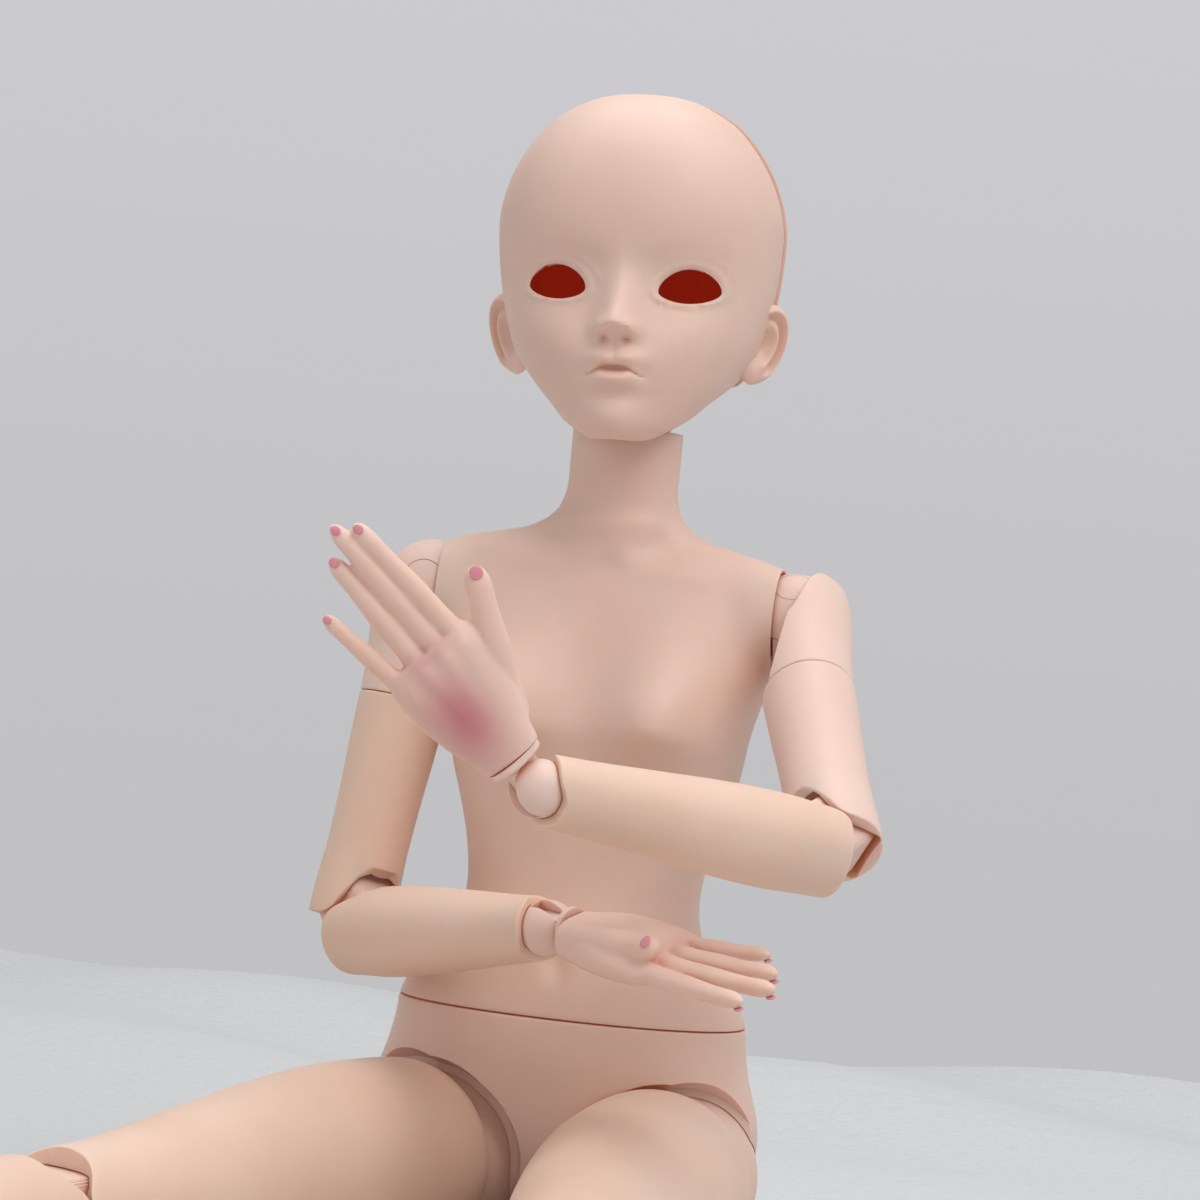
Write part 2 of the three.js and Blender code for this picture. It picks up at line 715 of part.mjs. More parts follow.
function ear(side) {
  const rows = [
    [0, 0.24, 0.5],
    [0.12, 0.46, 0.8],
    [0.3, 0.52, 0.9],
    [0.5, 0.68, 0.95],
    [0.75, 0.9, 1],
    [0.92, 0.66, 0.9],
    [1, 0.26, 0.5],
  ];
  const rings = levelsBetween(0, 1, 8).map((share) => {
    const [, wide, thick] = sample(rows, share);
    const half = wide * earWidth / 2;
    const section = { wide: thick * earThick / 2, front: half, back: half };
    return ringOf(8, () => section, () => (share - 0.5) * earHeight);
  });
  const leaf = loft(rings);
  const scoop = ball(earWidth * 0.27, 8, 6).scale(0.55, 1, 1.9);
  at(scoop, earThick * 0.5, earWidth * 0.02, earHeight * 0.04);
  const shell = cut(leaf, scoop);
  shell.rotateX(degToRad(-9)).rotateZ(degToRad(-34));
  if (side < 0) {
    shell.scale(-1, 1, 1);
    shell.setIndex(flipped(Array.from(shell.index.array)));
  }
  return at(shell, side * headHalfWidth * 0.955, capSeamBack * 0.1, headHeight * 0.295);
}

function faceGeometry() {
  const pivot = chinBelowPivot;
  const below = (top) => block(-headHalfWidth, headHalfWidth, -headFront, headBack, -overrun * 2, top);
  const neckWide = torsoSection(chestShares, 1).wide;
  const neckReach = Math.hypot(neckWide, neckPivotAbove) + fit;
  const moat = common(at(hollow(neckReach, 16, 10), 0, 0, pivot), below(pivot - bossWall));
  const neckRoom = bore('z', neckWide + neckSwing, -overrun * 2, pivot - neckPivotAbove * 0.8, 16);
  const boss = common(at(ball(neckSeatRadius - fit, 18, 12), 0, 0, pivot), below(pivot));
  const skin = cut(join(skull(faceLevels(), faceAngles(17, 11), 0, true), ear(1), ear(-1)), moat, neckRoom);
  return cut(
    join(skin, boss),
    cavity(headWall, 7),
    at(ball(neckSeatRadius - fit - bossWall, 14, 8), 0, 0, pivot),
    bar('z', stemHoleRadius, -overrun, pivot, 14),
    ...[1, -1].flatMap((side) => [eyeTool(side), eyeWell(side)]),
    capSide(0),
    ...magnetTools(magnetRadius + fit, capSeamBack - magnetThick * 2 - fit, capSeamBack + overrun),
  );
}

function capGeometry() {
  const levels = [0, 0.1, 0.2, 0.32, 0.46, 0.6, 0.74, 0.85, 0.92, 0.97, 1];
  const whole = skull(levels, faceAngles(5, 17), capProud, false);
  return cut(common(whole, capSide(fit)), cavity(headWall, 7));
}

// Limb sections: place as a share of the length below the joint, then wide, front and back shares

function sectionFrom(rows, length, size) {
  return (z) => {
    const [, wide, front, back, square] = sample(rows, -z / length);
    return { wide: wide * size, front: front * size, back: back * size, square: square ?? 2 };
  };
}

function armCapGeometry(side) {
  const sides = 14;
  const inner = shoulderBall + fit;
  const outer = inner + armCapWall;
  const sectionAt = (z) => {
    const across = z > -outer / 2 ? Math.sqrt(Math.max(outer * outer - z * z, outer)) : 0;
    const round = Math.max(across, lerp(outer * 0.985, armTopRadius, smoothstep(-z, 0, armCapLength)));
    return { wide: round, front: round, back: round };
  };
  const rim = (x) => lerp(-outer * 0.85, outer * 0.16, smoothstep(side * x, -outer * 0.35, outer * 0.5));
  const flat = -outer * 0.9;
  const shell = limb({ sides, sectionAt, levels: levelsBetween(flat, -armCapLength, 3), top: { rim, flat } });
  const near = armholeHalfSpan - shoulderHalfSpan + fit * 3;
  const outline = [
    [near, outer],
    [near, -outer * 0.7],
    [-armTopRadius * 0.86, -armCapLength],
    [-outer * 2, -armCapLength],
    [-outer * 2, outer],
  ];
  const peg = bar('z', armPegRadius, -armCapLength - armPegLength, -inner - armCapWall, 14);
  const bodyRoom = plate(outline.map(([x, z]) => [side * x, z]), outer * 2);
  const below = outline.slice(1).map(([x, z]) => [side * x, Math.min(z, -shoulderBall * 0.85)]);
  const bladeRoom = plate(below, outer);
  const blade = cut(tongue(shoulderJoint, outer), bladeRoom);
  return join(blade, cut(shell, hollow(inner, 12, 8), bodyRoom), peg);
}

const upperArmRows = [
  [0, 1, 1, 1],
  [0.25, 0.96, 0.98, 0.98],
  [0.5, 0.91, 0.94, 0.93],
  [0.75, 0.89, 0.92, 0.91],
  [0.92, 0.92, 0.935, 0.935],
  [1, 0.935, 0.94, 0.94],
  [1.1, 0.93, 0.93, 0.93],
];

function elbowRim() {
  return hingeRim(elbowReach, elbowRise, elbowFold, -1);
}

function upperArmGeometry() {
  const length = upperArmLength - armCapLength;
  const rim = (x, y) => elbowRim()(x, y) - length;
  const flat = elbowRise + fit * 4 - length;
  const shape = limb({
    sides: 12,
    sectionAt: sectionFrom(upperArmRows, length, armTopRadius),
    levels: levelsBetween(-fit, flat, 3),
    bottom: { rim, flat },
  });
  return cut(
    shape,
    linkSlot(elbowLinkHalf, elbowLinkRadius, -length - elbowRise * 2, elbowLinkRadius + fit * 4 - length),
    pinHoles(elbowPinRadius, elbowLinkHalf + elbowPinRadius + fit, -length),
    bore('z', armPegRadius + fit, -armPegLength - 2 * fit, overrun, 14),
  );
}

const forearmRows = [
  [-0.2, 0.9, 0.9, 0.9],
  [0, 0.94, 0.94, 0.94],
  [0.15, 0.985, 0.985, 0.985],
  [0.35, 0.96, 0.95, 0.95],
  [0.6, 0.86, 0.84, 0.84],
  [0.85, 0.77, 0.71, 0.72],
  [1, 0.74, 0.66, 0.67],
];

function forearmGeometry() {
  const flat = -elbowRise - fit * 4;
  const end = -forearmLength + wristBall * 0.62;
  const shoulder = end + wristBall * 0.3;
  const notch = (x) => (
    end - wristBall * 0.4 * smoothstep(Math.abs(x), wristHalfWidth * 0.3, wristHalfWidth * 0.9)
  );
  const shape = limb({
    sides: 12,
    sectionAt: sectionFrom(forearmRows, forearmLength, forearmRadius),
    levels: levelsBetween(flat, shoulder, 4),
    top: { rim: (x, y) => -elbowRim()(x, y), flat },
    bottom: { rim: notch, flat: shoulder },
  });
  return cut(
    shape,
    linkSlot(elbowLinkHalf, elbowLinkRadius, -elbowLinkRadius - fit * 4, elbowRise * 2),
    pinHoles(elbowPinRadius, elbowLinkHalf + elbowPinRadius + fit, 0),
    at(hollow(wristBall + fit, 10, 6), 0, 0, -forearmLength),
    bore('z', wristPegRadius + fit, -forearmLength, -forearmLength + wristBall + wristPegLength, 10),
  );
}

// Hands

// One finger: a tapered tube along a gently curled line, thicker at the knuckles
function finger(length, radius, curlDeg, spreadDeg, base) {
  const steps = 4;
  const rings = [];
  const place = new THREE.Vector3();
  const sides = 6;
  for (let i = 0; i <= steps; i++) {
    const share = i / steps;
    const curl = degToRad(curlDeg) * share * share;
    const forward = new THREE.Vector3(0, -Math.sin(curl), -Math.cos(curl));
    if (i > 0) place.addScaledVector(forward, length / steps * (i === steps ? 0.55 : 1));
    const knuckle = 1 + 0.05 * Math.cos(TAU * 2 * share);
    const taper = lerp(1, 0.68, share) * knuckle * (i === steps ? 0.5 : 1);
    const side = new THREE.Vector3(1, 0, 0);
    const up = new THREE.Vector3().crossVectors(forward, side);
    rings.push(Array.from({ length: sides }, (unused, k) => place.clone()
      .addScaledVector(side, radius * taper * Math.cos(TAU * k / sides))
      .addScaledVector(up, radius * taper * 0.94 * Math.sin(TAU * k / sides))));
  }
  const geometry = loft(rings);
  geometry.rotateY(degToRad(spreadDeg));
  return at(geometry, base.x, base.y, base.z);
}

const palmRows = [
  [0, 0.6, 1, 1],
  [0.12, 0.66, 1.02, 1.02],
  [0.35, 0.86, 1.04, 1],
  [0.65, 1, 1, 0.92],
  [0.88, 1, 0.86, 0.82],
  [1, 0.93, 0.62, 0.62],
];

// side is +1 for the left hand; the palm looks along -Y and the fingers hang down
function handGeometry(side, { curls, spreads, thumb }) {
  const lengthShares = [0.93, 1.04, 0.96, 0.76];
  const placeShares = [0.74, 0.26, -0.24, -0.71];
  const dropShares = [0.95, 1, 0.96, 0.87];
  const top = wristBall + fit * 2 + cuffThick + fit;
  const sectionAt = (z) => {
    const [, wide, front, back] = sample(palmRows, (-z - top) / palmLength);
    return {
      wide: wide * palmHalfWidth,
      front: front * palmHalfDepth,
      back: back * palmHalfDepth,
      square: 2.4,
    };
  };
  const levels = levelsBetween(-top, -top - palmLength, 6);
  const palm = loft(levels.map((z) => ringOf(10, sectionAt, () => z)));
  const fingers = lengthShares.map((share, i) => {
    const across = side * palmHalfWidth * placeShares[i];
    const base = new THREE.Vector3(across, 0, -top - palmLength * dropShares[i] + fingerRadius);
    const radius = fingerRadius * (i === 3 ? 0.86 : 1);
    return finger(fingerLength * share, radius, curls[i], -side * spreads[i], base);
  });
  const root = new THREE.Vector3(side * palmHalfWidth * 0.45, -palmHalfDepth * 0.45, -top - palmLength * 0.22);
  const middle = new THREE.Vector3();
  const thumbPiece = finger(thumbLength, fingerRadius * 1.2, thumb.curl, -side * thumb.spread, middle);
  thumbPiece.rotateX(degToRad(thumb.lift));
  return cut(
    join(palm, ...fingers, at(thumbPiece, root.x, root.y, root.z)),
    bore('z', handPegRadius + fit, -top - handPegLength - fit, 0, 10),
  );
}

function wristYokeGeometry() {
  const top = -wristBall - fit * 2;
  const [wide, deep] = [palmHalfWidth * 0.6, palmHalfDepth];
  const cuff = loft([[0.84, 0], [1, 0.4], [1, 1]].map(([size, drop]) => {
    const section = { wide: wide * size, front: deep * size, back: deep * size, square: 2.4 };
    return ringOf(14, () => section, () => top - cuffThick * drop);
  }));
  return join(
    tongue(wristJoint, -top + cuffThick / 2),
    cuff,
    bar('z', handPegRadius, top - cuffThick - handPegLength, top - cuffThick / 2, 10),
  );
}

// Legs

const thighRows = [
  [0.07, 0.8, 0.8, 0.8],
  [0.105, 0.885, 0.885, 0.885],
  [0.15, 0.93, 0.925, 0.94],
  [0.25, 0.965, 0.95, 0.975],
  [0.35, 0.97, 0.955, 0.985],
  [0.5, 0.905, 0.9, 0.925],
  [0.7, 0.775, 0.785, 0.785],
  [0.86, 0.665, 0.685, 0.675],
  [0.95, 0.632, 0.645, 0.636],
  [1, 0.63, 0.64, 0.632],
  [1.1, 0.62, 0.62, 0.62],
];
const thighRimShare = 0.53;

function kneeRim() {
  return hingeRim(kneeReach, kneeRise, kneeFold, 1, kneeReach * 0.75);
}

function thighGeometry(side) {
  const inner = hipBall + fit;
  const rimAbove = (x) => -hipBall * (thighRimShare + 0.09 * smoothstep(side * x, -hipBall / 2, hipBall));
  const rimBelow = (x, y) => kneeRim()(x, y) - thighLength;
  const flat = kneeRise + fit * 6 - thighLength;
  const shape = limb({
    sides: 16,
    sectionAt: sectionFrom(thighRows, thighLength, thighRadius),
    levels: [-hipBall * 0.8, ...levelsBetween(-hipBall, flat, 6)],
    top: { rim: rimAbove, flat: -hipBall * 0.8 },
    bottom: { rim: rimBelow, flat },
  });
  return cut(
    shape,
    hollow(inner, 14, 8),
    linkSlot(kneeLinkHalf, kneeLinkRadius, -thighLength - kneeRise * 2, kneeLinkRadius + fit * 4 - thighLength),
    pinHoles(kneePinRadius, kneeLinkHalf + kneePinRadius + fit, -thighLength),
    bore('z', thighPegRadius + fit, -inner - thighPegLength - fit, 0, 12),
  );
}

function hipYokeGeometry() {
  const blade = common(tongue(hipJoint, hipBall * 1.2), ball(hipBall, 16, 12));
  return join(blade, bar('z', thighPegRadius, -hipBall - thighPegLength, -hipBall * 0.8, 12));
}

const calfRows = [
  [-0.2, 0.9, 0.9, 0.9],
  [0, 0.92, 0.93, 0.915],
  [0.12, 0.925, 0.9, 0.95],
  [0.28, 0.97, 0.86, 0.98],
  [0.5, 0.84, 0.75, 0.86],
  [0.72, 0.63, 0.62, 0.65],
  [0.88, 0.53, 0.54, 0.55],
  [1, 0.55, 0.55, 0.56],
];

function calfGeometry() {
  const flat = -kneeRise - fit * 6;
  const end = -calfLength + ankleBall * 0.5;
  const shape = limb({
    sides: 14,
    sectionAt: sectionFrom(calfRows, calfLength, calfRadius),
    levels: levelsBetween(flat, end, 5),
    top: { rim: (x, y) => -kneeRim()(x, y), flat },
  });
  return cut(
    shape,
    linkSlot(kneeLinkHalf, kneeLinkRadius, -kneeLinkRadius - fit * 4, kneeRise * 2),
    pinHoles(kneePinRadius, kneeLinkHalf + kneePinRadius + fit, 0),
    at(hollow(ankleBall + fit, 10, 6), 0, 0, -calfLength),
    bore('z', anklePegRadius + fit, -calfLength, -calfLength + ankleBall + anklePegLength, 10),
  );
}

const footShares = [
  [0, 0.35, 0.3, 0.1],
  [0.04, 0.56, 0.55, 0.02],
  [0.14, 0.68, 0.95, 0],
  [0.25, 0.7, 1, 0],
  [0.4, 0.72, 0.86, 0.03],
  [0.58, 0.88, 0.66, 0.04],
  [0.76, 1, 0.5, 0.02],
  [0.9, 0.98, 0.4, 0.02],
  [1, 0.8, 0.3, 0.06],
];

// The foot reaches from the heel forward along -Y; the ankle pivot is its origin
function footGeometry(side) {
  const sole = -footHeight;
  const rings = levelsBetween(0, 1, 8).map((share) => {
    const [, wide, tall, lift] = sample(footShares, share);
    const high = tall * (footHeight + ankleBall * 0.2);
    const y = heelBack - share * (footLength - toeLength);
    return Array.from({ length: 8 }, (unused, k) => {
      const angle = TAU * k / 8;
      const up = Math.sin(angle);
      const x = wide * footHalfWidth * Math.cos(angle) * (1 - 0.3 * Math.max(up, 0));
      const rise = up > 0 ? 0.35 + 0.65 * up : 0.35 * (1 + Math.max(up * 1.4, -1));
      const z = sole + lift * footHeight + high * rise;
      return new THREE.Vector3(x - side * footHalfWidth * 0.12 * share, y, z);
    });
  });
  const toes = [0.72, 0.3, -0.06, -0.4, -0.72].map((place, i) => {
    const radius = footHalfWidth * (i === 0 ? 0.3 : 0.2);
    const toe = ball(radius, 6, 4).scale(1, toeLength / radius / 1.6, 0.85);
    const y = heelBack - footLength + toeLength * (0.62 + 0.16 * i);
    return at(toe, -side * footHalfWidth * (place + 0.12), y, sole + radius);
  });
  const calfRim = Math.hypot(sample(calfRows, 1)[3] * calfRadius, ankleBall * 0.5) + 2 * fit;
  const instep = ankleBall * 0.35;
  const opening = plate([
    [-heelBack - overrun, -ankleBall * 0.7],
    [-ankleBall * 0.3, -ankleBall * 0.7],
    [calfRim, instep],
    [calfRim, footHeight],
    [-heelBack - overrun, footHeight],
  ], footHalfWidth * 2).rotateZ(-Math.PI / 2);
  return cut(join(loft(rings), ...toes), hollow(ankleBall + fit, 12, 8), opening);
}

function ankleYokeAndFoot(side) {
  return join(tongue(ankleJoint, ankleBall + fit * 4).rotateZ(Math.PI / 2), footGeometry(side));
}

// Scene graph

const doll = new THREE.Group();
doll.name = 'doll';

function finish(look) {
  return new THREE.MeshStandardMaterial(look);
}

function add(parent, name, geometry, look, place = [0, 0, 0]) {
  const mesh = new THREE.Mesh(geometry, finish(look));
  mesh.name = name;
  mesh.position.set(...place);
  parent.add(mesh);
  return mesh;
}

// A joint is a group whose origin is the pivot, turned about one axis to its posed angle
function joint(parent, name, place, axis, angleDeg) {
  const group = new THREE.Group();
  group.name = `joint_${name}`;
  group.position.set(...place);
  group.rotation[axis] = degToRad(angleDeg);
  group.userData.axis = axis;
  parent.add(group);
  return group;
}

add(doll, 'pelvis', pelvisGeometry(), palePlastic);

const waistTurn = joint(doll, 'waist_turn', [0, 0, rimHeight], 'z', 0);
add(waistTurn, 'waist_ball', waistBallGeometry(), innerPlastic);
add(waistTurn, 'chest', chestGeometry(), fleshPlastic);

function waistBallGeometry() {
  return join(ball(waistBallRadius, 12, 8), bar('z', waistPegRadius, 0, waistStubHeight + waistPegLength, 12));
}

// Neck and head
const neckTurn = joint(waistTurn, 'neck_turn', [0, 0, chestHeight + neckPivotAbove], 'z', pose.headTurnDeg);
add(neckTurn, 'neck_stem', neckStemGeometry(), innerPlastic);
const neckNod = joint(neckTurn, 'neck_nod', [0, 0, 0], 'x', pose.headNodDeg);
add(neckNod, 'neck_cross', neckCrossGeometry(), steel);
const neckTilt = joint(neckNod, 'neck_tilt', [0, 0, 0], 'y', pose.headTiltDeg);
add(neckTilt, 'head_bridge', headBridgeGeometry(), innerPlastic);
const headPlace = [0, 0, -chinBelowPivot];
add(neckTilt, 'face_shell', faceGeometry(), fleshPlastic, headPlace);
const capSlide = joint(neckTilt, 'cap_slide', headPlace, 'x', 0);
add(capSlide, 'head_cap', capGeometry(), fleshPlastic);
[-1, 1].forEach((side) => {
  const name = side > 0 ? 'left' : 'right';
  const place = [side * magnetSide, capSeamBack - magnetThick * 2, magnetHeight - chinBelowPivot];
  add(neckTilt, `magnet_${name}`, bar('y', magnetRadius, 0, magnetThick, 10), steel, place);
});

function neckStemGeometry() {
  const foot = -neckPivotAbove - neckStemDepth;
  const rod = bar('z', neckStemRadius, foot, -neckForkHalf - neckForkThick / 2, 12);
  const outer = neckForkHalf + neckForkThick;
  const yoke = block(-outer, outer, -neckForkThick, neckForkThick, -outer, -neckForkHalf);
  const cheeks = [-1, 1].map((side) => {
    const [a, b] = [side * neckForkHalf, side * outer];
    return block(Math.min(a, b), Math.max(a, b), -neckForkThick, neckForkThick, -outer, neckForkThick);
  });
  const hole = bore('x', neckPinRadius + pinFit, -neckPinReach - overrun, neckPinReach + overrun, 8);
  return cut(join(rod, yoke, ...cheeks), hole);
}

function neckCrossGeometry() {
  return join(
    ball(neckCrossRadius, 8, 6),
    bar('x', neckPinRadius, -neckPinReach, neckPinReach, 8),
    bar('y', neckPinRadius, -neckPinReach - neckForkThick, neckPinReach + neckForkThick, 8),
  );
}

function headBridgeGeometry() {
  const far = neckPinReach + neckForkThick;
  const low = capFloor - chinBelowPivot + fit;
  const lugs = [-1, 1].map((side) => {
    const [a, b] = [side * neckPinReach, side * far].sort((first, second) => first - second);
    return block(-neckForkThick, neckForkThick, a, b, -neckForkThick, low + neckForkThick);
  });
  const reach = neckSeatRadius - fit;
  const arch = block(-neckForkThick, neckForkThick, -reach, reach, low, low + neckForkThick);
  return cut(join(arch, ...lugs), bore('y', neckPinRadius + pinFit, -far - overrun, far + overrun, 8));
}

// Arms
for (const [name, side] of [['left', 1], ['right', -1]]) {
  const angles = pose[name];
  const shoulder = [side * shoulderHalfSpan, 0, shoulderHeight];
  const swing = joint(waistTurn, `${name}_shoulder_swing`, shoulder, 'x', angles.swingDeg);
  add(swing, `${name}_shoulder_block`, ballBlock({
    ...shoulderJoint, pegDeg: side > 0 ? 180 : 0, pegRadius: shoulderBall * 0.93,
    pegLength: shoulderHalfSpan - armholeHalfSpan + shoulderBarrelDepth,
    slotFrom: side > 0 ? -105 : -180, slotTo: side > 0 ? 0 : -75,
  }), palePlastic);
  add(swing, `${name}_shoulder_pin`, ballPin(shoulderJoint), palePlastic);

  const raise = joint(swing, `${name}_shoulder_raise`, [0, 0, 0], 'y', -side * angles.raiseDeg);
  add(raise, `${name}_arm_cap`, armCapGeometry(side), palePlastic);

  const twist = joint(raise, `${name}_arm_twist`, [0, 0, -armCapLength], 'z', angles.armTwistDeg * side);
  add(twist, `${name}_upper_arm`, upperArmGeometry(), limbPlastic);

  const elbow = [0, 0, armCapLength - upperArmLength];
  const elbowUpper = joint(twist, `${name}_elbow_upper`, elbow, 'x', -angles.elbowUpperDeg);
  const elbowLink = hingeLink(elbowLinkRadius, elbowLinkHalf, elbowSpan, elbowPinRadius);
  add(elbowUpper, `${name}_elbow_link`, elbowLink, palePlastic);
  for (const [which, z] of [['upper', 0], ['lower', -elbowSpan]]) {
    const pin = hingePin(elbowPinRadius, elbowLinkHalf + elbowPinRadius);
    add(elbowUpper, `${name}_elbow_pin_${which}`, pin, steel, [0, 0, z]);
  }

  const elbowLower = joint(elbowUpper, `${name}_elbow_lower`, [0, 0, -elbowSpan], 'x', -angles.elbowLowerDeg);
  add(elbowLower, `${name}_forearm`, forearmGeometry(), limbPlastic);

  const wrist = [0, 0, -forearmLength];
  const wristTwist = joint(elbowLower, `${name}_wrist_twist`, wrist, 'z', angles.wristTwistDeg * side);
  add(wristTwist, `${name}_wrist_block`, ballBlock({
    ...wristJoint, pegDeg: 90, pegRadius: wristPegRadius,
    pegLength: wristBall + wristPegLength - fit,
    slotFrom: -150, slotTo: -30, sides: 10,
  }), palePlastic);
  add(wristTwist, `${name}_wrist_pin`, ballPin(wristJoint), palePlastic);

  const wristBend = joint(wristTwist, `${name}_wrist_bend`, [0, 0, 0], 'y', angles.wristBendDeg * side);
  add(wristBend, `${name}_wrist_yoke`, wristYokeGeometry(), palePlastic);

  const handTurn = joint(wristBend, `${name}_hand_turn`, [0, 0, 0], 'z', angles.handTurnDeg * side);
  add(handTurn, `${name}_hand`, handGeometry(side, fingersDeg[name]), palePlastic);
}

// Legs
for (const [name, side] of [['left', 1], ['right', -1]]) {
  const angles = pose[name];
  const hip = [side * hipHalfSpan, hipBack, hipHeight];
  const swing = joint(doll, `${name}_hip_swing`, hip, 'x', angles.hipSwingDeg);
  add(swing, `${name}_hip_block`, ballBlock({
    ...hipJoint, pegDeg: side > 0 ? 180 : 0, pegRadius: hipBarrelRadius,
    pegLength: hipHalfSpan - hipBarrelRadius * 0.1,
    slotFrom: side > 0 ? -110 : -155, slotTo: side > 0 ? -25 : -70, sides: 14,
  }), palePlastic);
  add(swing, `${name}_hip_pin`, ballPin(hipJoint), palePlastic);

  const spread = joint(swing, `${name}_hip_spread`, [0, 0, 0], 'y', -side * angles.spreadDeg);
  add(spread, `${name}_hip_yoke`, hipYokeGeometry(), innerPlastic);

  const twist = joint(spread, `${name}_hip_twist`, [0, 0, 0], 'z', angles.hipTwistDeg * side);
  add(twist, `${name}_thigh`, thighGeometry(side), limbPlastic);

  const kneeUpper = joint(twist, `${name}_knee_upper`, [0, 0, -thighLength], 'x', angles.kneeUpperDeg);
  const kneeLink = hingeLink(kneeLinkRadius, kneeLinkHalf, kneeSpan, kneePinRadius);
  add(kneeUpper, `${name}_knee_link`, kneeLink, palePlastic);
  for (const [which, z] of [['upper', 0], ['lower', -kneeSpan]]) {
    const pin = hingePin(kneePinRadius, kneeLinkHalf + kneePinRadius);
    add(kneeUpper, `${name}_knee_pin_${which}`, pin, steel, [0, 0, z]);
  }

  const kneeLower = joint(kneeUpper, `${name}_knee_lower`, [0, 0, -kneeSpan], 'x', angles.kneeLowerDeg);
  add(kneeLower, `${name}_calf`, calfGeometry(), limbPlastic);

  const ankle = [0, 0, -calfLength];
  const ankleTwist = joint(kneeLower, `${name}_ankle_twist`, ankle, 'z', angles.ankleTwistDeg * side);
  const ankleTurned = new THREE.Group();
  ankleTurned.rotation.z = Math.PI / 2;
  ankleTwist.add(ankleTurned);
  add(ankleTurned, `${name}_ankle_block`, ballBlock({
    ...ankleJoint, pegDeg: 90, pegRadius: anklePegRadius,
    pegLength: ankleBall + anklePegLength - fit,
    slotFrom: -160, slotTo: -20, sides: 10,
  }), palePlastic);
  add(ankleTurned, `${name}_ankle_pin`, ballPin(ankleJoint), palePlastic);

  const ankleBend = joint(ankleTwist, `${name}_ankle_bend`, [0, 0, 0], 'x', angles.ankleBendDeg);
  add(ankleBend, `${name}_foot`, ankleYokeAndFoot(side), palePlastic);
}

export default doll;
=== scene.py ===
# %% [markdown]
# A ball jointed doll sits with its legs out and its hands raised before it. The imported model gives
# every piece its place and every joint its pivot. This lesson models each outer piece again with a
# fine, smooth skin around those same pivots, and gives each one the finish of cast resin.

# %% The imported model
import json
import math

import bmesh
import bpy
import numpy as np
from mathutils import Matrix, Vector


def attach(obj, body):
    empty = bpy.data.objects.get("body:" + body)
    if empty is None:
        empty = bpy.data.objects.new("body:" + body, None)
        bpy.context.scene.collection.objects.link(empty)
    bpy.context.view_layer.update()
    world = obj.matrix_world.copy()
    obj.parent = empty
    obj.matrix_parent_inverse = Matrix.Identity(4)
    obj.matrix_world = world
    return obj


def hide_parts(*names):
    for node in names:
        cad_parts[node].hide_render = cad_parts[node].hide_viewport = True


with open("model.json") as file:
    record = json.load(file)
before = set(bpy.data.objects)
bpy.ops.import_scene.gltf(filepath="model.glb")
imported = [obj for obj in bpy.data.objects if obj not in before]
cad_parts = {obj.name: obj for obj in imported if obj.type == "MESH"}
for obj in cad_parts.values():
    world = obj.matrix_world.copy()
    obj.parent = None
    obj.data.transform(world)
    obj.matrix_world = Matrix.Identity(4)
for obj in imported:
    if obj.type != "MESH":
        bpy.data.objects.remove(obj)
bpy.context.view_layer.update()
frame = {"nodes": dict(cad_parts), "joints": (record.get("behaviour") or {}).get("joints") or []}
JOINTS = {joint["name"]: joint for joint in frame["joints"]}
MM = 0.001
TAU = 2 * math.pi

# %% [markdown]
# The camera comes first. It stands about nine hundred millimetres away, a little to the doll's left
# and at the height of its bust, and it is rolled a few degrees, which is why the doll seems to lean.

# %% The camera
CAMERA_TURN = math.radians(11)
CAMERA_ROLL = math.radians(5.6)
CAMERA_DISTANCE = 0.9
CAMERA_HEIGHT = 0.165
CAMERA_SIDE = 0.00284
FOCAL_LENGTH, SENSOR_WIDTH = 114, 36
FAR_CLIP = 20

side_way = Vector((math.cos(CAMERA_TURN), math.sin(CAMERA_TURN), 0))
look_way = Vector((-math.sin(CAMERA_TURN), math.cos(CAMERA_TURN), 0))
camera_place = -look_way * CAMERA_DISTANCE - side_way * CAMERA_SIDE
camera_place.z = CAMERA_HEIGHT
right_way = side_way * math.cos(CAMERA_ROLL) + Vector((0, 0, 1)) * math.sin(CAMERA_ROLL)
up_way = -side_way * math.sin(CAMERA_ROLL) + Vector((0, 0, 1)) * math.cos(CAMERA_ROLL)
bpy.ops.object.camera_add()
camera = bpy.context.object
camera.name = "camera"
turn_matrix = Matrix((right_way, up_way, -look_way)).transposed().to_4x4()
camera.matrix_world = Matrix.Translation(camera_place) @ turn_matrix
camera.data.lens = FOCAL_LENGTH
camera.data.sensor_width = SENSOR_WIDTH
camera.data.clip_end = FAR_CLIP
bpy.context.scene.camera = camera
bpy.context.scene.view_settings.view_transform = "Standard"
print("camera at", [round(value, 3) for value in camera_place])

# %% [markdown]
# Each material is a small graph of nodes. One helper adds a node with its settings and links, and
# another turns a colour written as sRGB hex into the linear values that the shader works in. Small
# helpers on top of them mix two colours, cloud a colour with noise and end a graph with its shader.

# %% Helpers for materials
def linear(code):
    """An sRGB hex colour as linear red, green, blue and a full alpha."""
    values = [int(code[i:i + 2], 16) / 255 for i in (1, 3, 5)]
    return [v / 12.92 if v <= 0.04045 else ((v + 0.055) / 1.055) ** 2.4 for v in values] + [1]


def add_node(tree, kind, links=(), **settings):
    """Adds a node. Settings are node properties, or values of the inputs of the same name."""
    node = tree.nodes.new(kind)
    for key, value in settings.items():
        if hasattr(node, key):
            setattr(node, key, value)
        else:
            node.inputs[key.replace("_", " ")].default_value = value
    for source, target in links:
        tree.links.new(source, node.inputs[target])
    return node


def new_material(name):
    material = bpy.data.materials.new(name)
    material.use_nodes = True
    material.node_tree.nodes.clear()
    return material, material.node_tree


